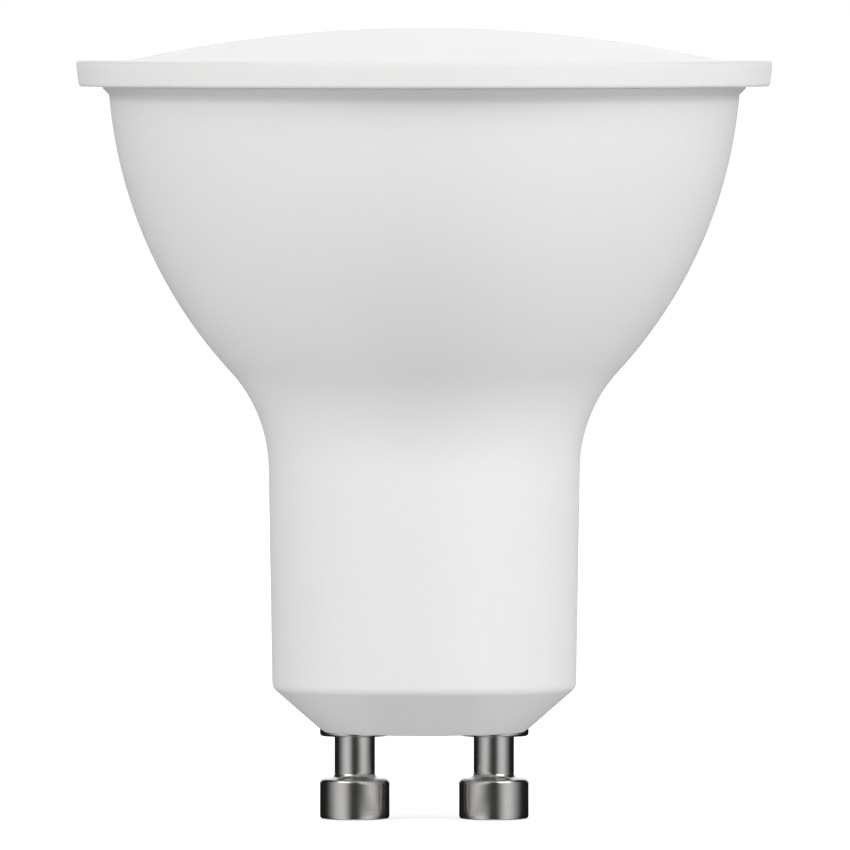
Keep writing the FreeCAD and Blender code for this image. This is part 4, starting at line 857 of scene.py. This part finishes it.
def make_housing(material):
    """Bowl, neck and bevelled base, with the bosses, board guides, groove and pin holes."""
    housing = housing_shell()
    guides, slots, bosses, holes = [], [], [], []
    for side, name in ((-1, "left"), (1, "right")):
        guide, slot = guide_and_slot(side, name)
        boss, hole = boss_and_hole(side, name)
        guides.append(guide)
        slots.append(slot)
        bosses.append(boss)
        holes.append(hole)
    gate = cutter("gate_mark", [(r, SEAT + rise) for r, rise in GATE_MARK], GATE_AROUND)
    combine(housing, "UNION", *bosses, *guides)
    combine(housing, "DIFFERENCE", *holes, *slots, gate)
    settle(housing, material, "housing")


# Contact pins


def make_pin(name, node, side, material):
    """A turned pin: head, stem, collar, shank and the hollow tail that the lead goes into."""
    path = Profile(0.0, 0.0)
    path.corner(HEAD, 0.0, (HEAD, HEAD_TOP), radius=0.3, step=0.5)
    path.corner(HEAD, HEAD_TOP, (STEM, HEAD_TOP), radius=0.3)
    path.corner(STEM, HEAD_TOP, (STEM, COLLAR_FOOT), radius=0.45)
    path.corner(STEM, COLLAR_FOOT, (COLLAR, COLLAR_FOOT), radius=0.06)
    path.corner(COLLAR, COLLAR_FOOT, (COLLAR, COLLAR_TOP), radius=0.22)
    path.corner(COLLAR, COLLAR_TOP, (SHANK, COLLAR_TOP), radius=0.05)
    path.corner(SHANK, COLLAR_TOP, (SHANK, TAIL_TOP), radius=0.05)
    path.corner(SHANK, TAIL_TOP, (LEAD_BORE, TAIL_TOP), radius=0.12)
    path.corner(LEAD_BORE, TAIL_TOP, (LEAD_BORE, LEAD_BORE_FOOT), radius=0.12)
    path.line(LEAD_BORE, LEAD_BORE_FOOT)
    path.line(0.0, LEAD_BORE_TIP)
    pin = revolve(name, path.points, PIN_AROUND, side * PIN_OFFSET)
    settle(pin, material, node)


# Cover


def cover_shell(skirt_outer, skirt_inner):
    """The turned wall of the cover, from the dome's apex round the flange and the skirt."""
    rise = APEX - FLANGE_TOP
    sphere = (DOME**2 + rise**2) / (2 * rise)
    middle = Vector((0.0, APEX - sphere))
    under = sphere - COVER_WALL
    inner_edge = middle.y + math.sqrt(under**2 - skirt_inner**2)
    root_level = FLANGE_TOP + DOME_ROOT
    root_offset = math.sqrt((sphere + DOME_ROOT) ** 2 - (root_level - middle.y) ** 2)
    root = Vector((root_offset, root_level))
    dome_end = middle + (root - middle).normalized() * sphere
    flange_foot = FLANGE_EDGE - FLANGE_DRAFT

    path = Profile(0.0, APEX)
    path.arc(middle, *dome_end, step=0.6)
    path.arc(root, root.x, FLANGE_TOP, step=0.15)
    path.corner(FLANGE_EDGE, FLANGE_TOP, (flange_foot, MOUTH_LEVEL), radius=0.25)
    path.corner(flange_foot, MOUTH_LEVEL, (skirt_outer, MOUTH_LEVEL), radius=0.25)
    path.line(skirt_outer, MOUTH_LEVEL)
    path.corner(skirt_outer, SKIRT_FOOT, (skirt_inner, SKIRT_FOOT), radius=0.1)
    path.corner(skirt_inner, SKIRT_FOOT, (skirt_inner, inner_edge), radius=0.1)
    path.line(skirt_inner, inner_edge)
    path.arc(middle, 0.0, APEX - COVER_WALL, step=0.9)
    shell = revolve("cover_moulding", path.points)
    tidy_normals(shell)
    return shell


def make_cover(material):
    """Dome, flange and skirt in one moulding, with the slots and hooks of its snap fit."""
    skirt_outer = bowl_radius_at(SKIRT_GAP_LEVEL, WALL) - SKIRT_GAP
    skirt_inner = skirt_outer - SKIRT_WALL
    cover = cover_shell(skirt_outer, skirt_inner)

    slots = []
    for i in range(SKIRT_SLOTS):
        angle = 2 * math.pi * (i + 0.5) / SKIRT_SLOTS
        out = Vector((math.cos(angle), math.sin(angle)))
        turn = Vector((-math.sin(angle), math.cos(angle)))
        inner, outer = out * (skirt_inner - PAST), out * (skirt_outer + PAST)
        half = turn * SKIRT_SLOT_HALF
        outline = [inner - half, outer - half, outer + half, inner + half]
        slots.append(prism(f"slot_{i}", outline, SKIRT_FOOT - PAST, MOUTH_LEVEL - PAST))

    hook_root = skirt_outer - SKIRT_WALL / 2
    hook_edge = bowl_radius_at(GROOVE_FOOT, WALL) + GROOVE_DEPTH - HOOK_GAP
    hook_top, hook_foot = GROOVE_TOP - HOOK_GAP, GROOVE_FOOT + HOOK_GAP
    section = [
        (hook_root, hook_foot),
        (skirt_outer, hook_foot),
        (hook_edge, (hook_top + hook_foot) / 2),
        (hook_edge, hook_top),
        (hook_root, hook_top),
    ]
    hooks = []
    for i in range(HOOKS):
        middle = 360 * i / HOOKS
        first = math.radians(middle - HOOK_HALF_DEGREES)
        last = math.radians(middle + HOOK_HALF_DEGREES)
        hooks.append(swept(f"hook_{i}", section, first, last, HOOK_PIECES))
    combine(cover, "DIFFERENCE", *slots)
    combine(cover, "UNION", *hooks)
    settle(cover, material, "cover")


dress_inside()
make_housing(housing_plastic())
make_cover(cover_plastic())
nickel = nickel_plate()
make_pin("pin_left", "contact_pin_left", -1, nickel)
make_pin("pin_right", "contact_pin_right", 1, nickel)


# Floor, lights and camera


# What shiny surfaces see round the lamp, by the angle in degrees from the camera's side: dark in
# front, a soft panel that is brightest halfway to the side, dark flags, and the white backdrop
# behind, which comes last
RING = [
    (0.0, 0.05),
    (8.0, 0.06),
    (15.0, 0.15),
    (22.0, 0.36),
    (30.0, 0.58),
    (40.0, 0.75),
    (50.0, 0.76),
    (58.0, 0.7),
    (66.0, 0.59),
    (75.0, 0.43),
    (84.0, 0.28),
    (92.0, 0.17),
    (100.0, 0.07),
    (112.0, 0.02),
    (148.0, 0.012),
    (158.0, 1.0),
]


def from_nearest(tree, place, offset):
    """Sideways and forward distance of a place from the nearer of two posts, and both together.

    The posts stand at an offset to each side, and what lies behind them counts as less than 0.
    """
    split = split_axes(tree, place)
    sideways = calculate(tree, "ABSOLUTE", split["X"])
    sideways = calculate(tree, "ABSOLUTE", calculate(tree, "SUBTRACT", sideways, offset))
    forward = calculate(tree, "MULTIPLY", split["Y"], -1.0)
    squares = [calculate(tree, "MULTIPLY", d, d) for d in (sideways, forward)]
    return sideways, forward, calculate(tree, "SQRT", calculate(tree, "ADD", *squares))


def ring_of_panels(tree, place, panels, offset=0.0, radius=0.0):
    """Brightness of a ring of panels where a place mirrors it, round a post of a radius."""
    sideways, forward, reach = from_nearest(tree, place, offset)
    angle = calculate(tree, "ARCTAN2", sideways, forward)
    # A post's foot mirrors the floor beside it at half the angle at which it mirrors a far panel
    turned = calculate(tree, "SUBTRACT", 1.0, calculate(tree, "DIVIDE", radius / 2, reach))
    share = calculate(tree, "DIVIDE", calculate(tree, "DIVIDE", angle, turned), math.pi)
    ramp = add_node(tree, "ShaderNodeValToRGB")
    feed(tree, share, ramp.inputs[0])
    stops = ramp.color_ramp.elements
    while len(stops) < len(panels):
        stops.new(1.0)
    for stop, (degrees, level) in zip(stops, panels):
        stop.position = degrees / 180.0
        stop.color = (level, level, level, 1.0)
    return ramp.outputs[0]


# The floor: its colour, its own light near the lamp and far from it, where those two lie and half
# of its width, all in metres, and the radius in mm of the place under each pin where it is clear
FLOOR_COLOR = (0.62, 0.62, 0.62)
FLOOR_LIFT_NEAR = 0.6
FLOOR_LIFT_FAR = 1.0
FLOOR_NEAR = 0.06
FLOOR_FAR = 0.45
FLOOR_HALF = 30.0
FLOOR_CLEAR = HEAD - 0.1
WHITE = (1.0, 1.0, 1.0, 1.0)


def floor_material():
    """Pale floor that shows white to the camera and in reflections, and keeps the lamp's shadow."""
    look = Surface("floor", FLOOR_COLOR, 1.0, Specular_IOR_Level=0.0, Emission_Color=WHITE)
    tree = look.tree
    distance = add_node(tree, "ShaderNodeVectorMath", operation="LENGTH")
    feed(tree, look.place, distance.inputs[0])
    far = distance.outputs["Value"]
    level = look.between(far, FLOOR_NEAR, FLOOR_FAR, FLOOR_LIFT_NEAR, FLOOR_LIFT_FAR)
    seen_plain = light_path(tree, "Is Camera Ray", "Is Transmission Ray")
    look.set("Emission Strength", look.math("MULTIPLY", seen_plain, level))
    # Shiny surfaces see the panels carry on down over the floor
    panels = add_node(tree, "ShaderNodeEmission")
    strength = ring_of_panels(tree, look.place, RING[:-1], PIN_OFFSET * MM, HEAD * MM)
    feed(tree, strength, panels.inputs["Strength"])
    plain, glossy = look.shader.outputs[0], light_path(tree, "Is Glossy Ray")
    seen = mix_shaders(tree, glossy, plain, panels.outputs[0])
    # The floor is clear from below and under the pins' ends, so that the underside can be looked at
    below = add_node(tree, "ShaderNodeNewGeometry").outputs["Backfacing"]
    reach = from_nearest(tree, look.place, PIN_OFFSET * MM)[2]
    under = look.math("MAXIMUM", below, look.math("LESS_THAN", reach, FLOOR_CLEAR * MM))
    clear = add_node(tree, "ShaderNodeBsdfTransparent").outputs[0]
    surface = tree.nodes["Material Output"].inputs["Surface"]
    feed(tree, mix_shaders(tree, under, seen, clear), surface)
    return look.material


def add_floor():
    """A wide level floor under the pins' ends, which isn't part of the lamp."""
    half = FLOOR_HALF
    corners = [(-half, -half, 0.0), (half, -half, 0.0), (half, half, 0.0), (-half, half, 0.0)]
    floor = add_mesh("floor", corners, [(0, 1, 2, 3)])
    floor.data.materials.append(floor_material())


AIM = Vector((0.0, 0.0, 0.030))

# Studio lights: name, azimuth and elevation in degrees, distance, width and height in metres, power
# in watts, and whether shiny surfaces show it
LIGHTS = [
    ("right_front", 50.0, 6.0, 0.9, 0.5, 0.8, 2.34, False),
    ("right_side", 80.0, 8.0, 0.9, 0.5, 0.8, 2.79, False),
    ("left_front", -50.0, 6.0, 0.9, 0.5, 0.8, 3.23, False),
    ("left_side", -80.0, 8.0, 0.9, 0.5, 0.8, 1.18, False),
    ("right_high", 40.0, 40.0, 0.9, 0.7, 0.5, 2.21, True),
    ("left_high", -40.0, 40.0, 0.9, 0.7, 0.5, 1.68, True),
    ("top", 0.0, 80.0, 0.9, 0.6, 0.6, 0.3, False),
    ("back", 180.0, 25.0, 0.9, 0.7, 0.5, 3.96, False),
]


def place_object(data, spot, back):
    """Adds the object of a light or camera at a spot, with its back along a direction."""
    made = bpy.data.objects.new(data.name, data)
    bpy.context.scene.collection.objects.link(made)
    made.location = spot
    made.rotation_euler = back.to_track_quat("Z", "Y").to_euler()
    return made


def add_light(name, azimuth, elevation, distance, width, height, power, shown):
    """A soft panel that lights the lamp, from a row of LIGHTS."""
    data = bpy.data.lights.new(name, "AREA")
    data.shape = "RECTANGLE"
    data.size = width
    data.size_y = height
    data.energy = power
    a, e = math.radians(azimuth), math.radians(elevation)
    towards = Vector((math.sin(a) * math.cos(e), -math.cos(a) * math.cos(e), math.sin(e)))
    lamp = place_object(data, AIM + towards * distance, towards)
    lamp.visible_camera = False
    lamp.visible_glossy = shown


# The world's light from the side and from above
WORLD_HORIZON = 0.106
WORLD_ZENITH = 0.361


def add_world():
    """Even light from all round, graded from horizon to zenith, and plain white to the camera."""
    world = bpy.data.worlds.new("studio")
    bpy.context.scene.world = world
    world.use_nodes = True
    tree = world.node_tree
    background = tree.nodes["Background"]
    background.inputs["Color"].default_value = WHITE
    place = add_node(tree, "ShaderNodeTexCoord").outputs["Generated"]
    grade = remap(tree, split_axes(tree, place)["Z"], 0.0, 1.0, WORLD_HORIZON, WORLD_ZENITH)
    ring = ring_of_panels(tree, place, RING)
    lit = mix_values(tree, light_path(tree, "Is Glossy Ray"), grade, ring)
    seen_plain = light_path(tree, "Is Camera Ray", "Is Transmission Ray")
    feed(tree, mix_values(tree, seen_plain, lit, 1.0), background.inputs["Strength"])


CAMERA_SPOT = Vector((0.00005, -1.2, 0.0597))
CAMERA_AIM = Vector((0.00005, 0.0, 0.02836))
FRAME_WIDTH = 0.0611


def add_camera():
    """The camera at the photograph's angle, with a lens for the frame's width at its aim."""
    data = bpy.data.cameras.new("camera")
    away = CAMERA_SPOT - CAMERA_AIM
    data.lens = data.sensor_width * away.length / FRAME_WIDTH
    data.clip_start = 0.05
    data.clip_end = 60.0
    bpy.context.scene.camera = place_object(data, CAMERA_SPOT, away)


add_floor()
for light in LIGHTS:
    add_light(*light)
add_world()
add_camera()
bpy.context.scene.view_settings.view_transform = "Standard"
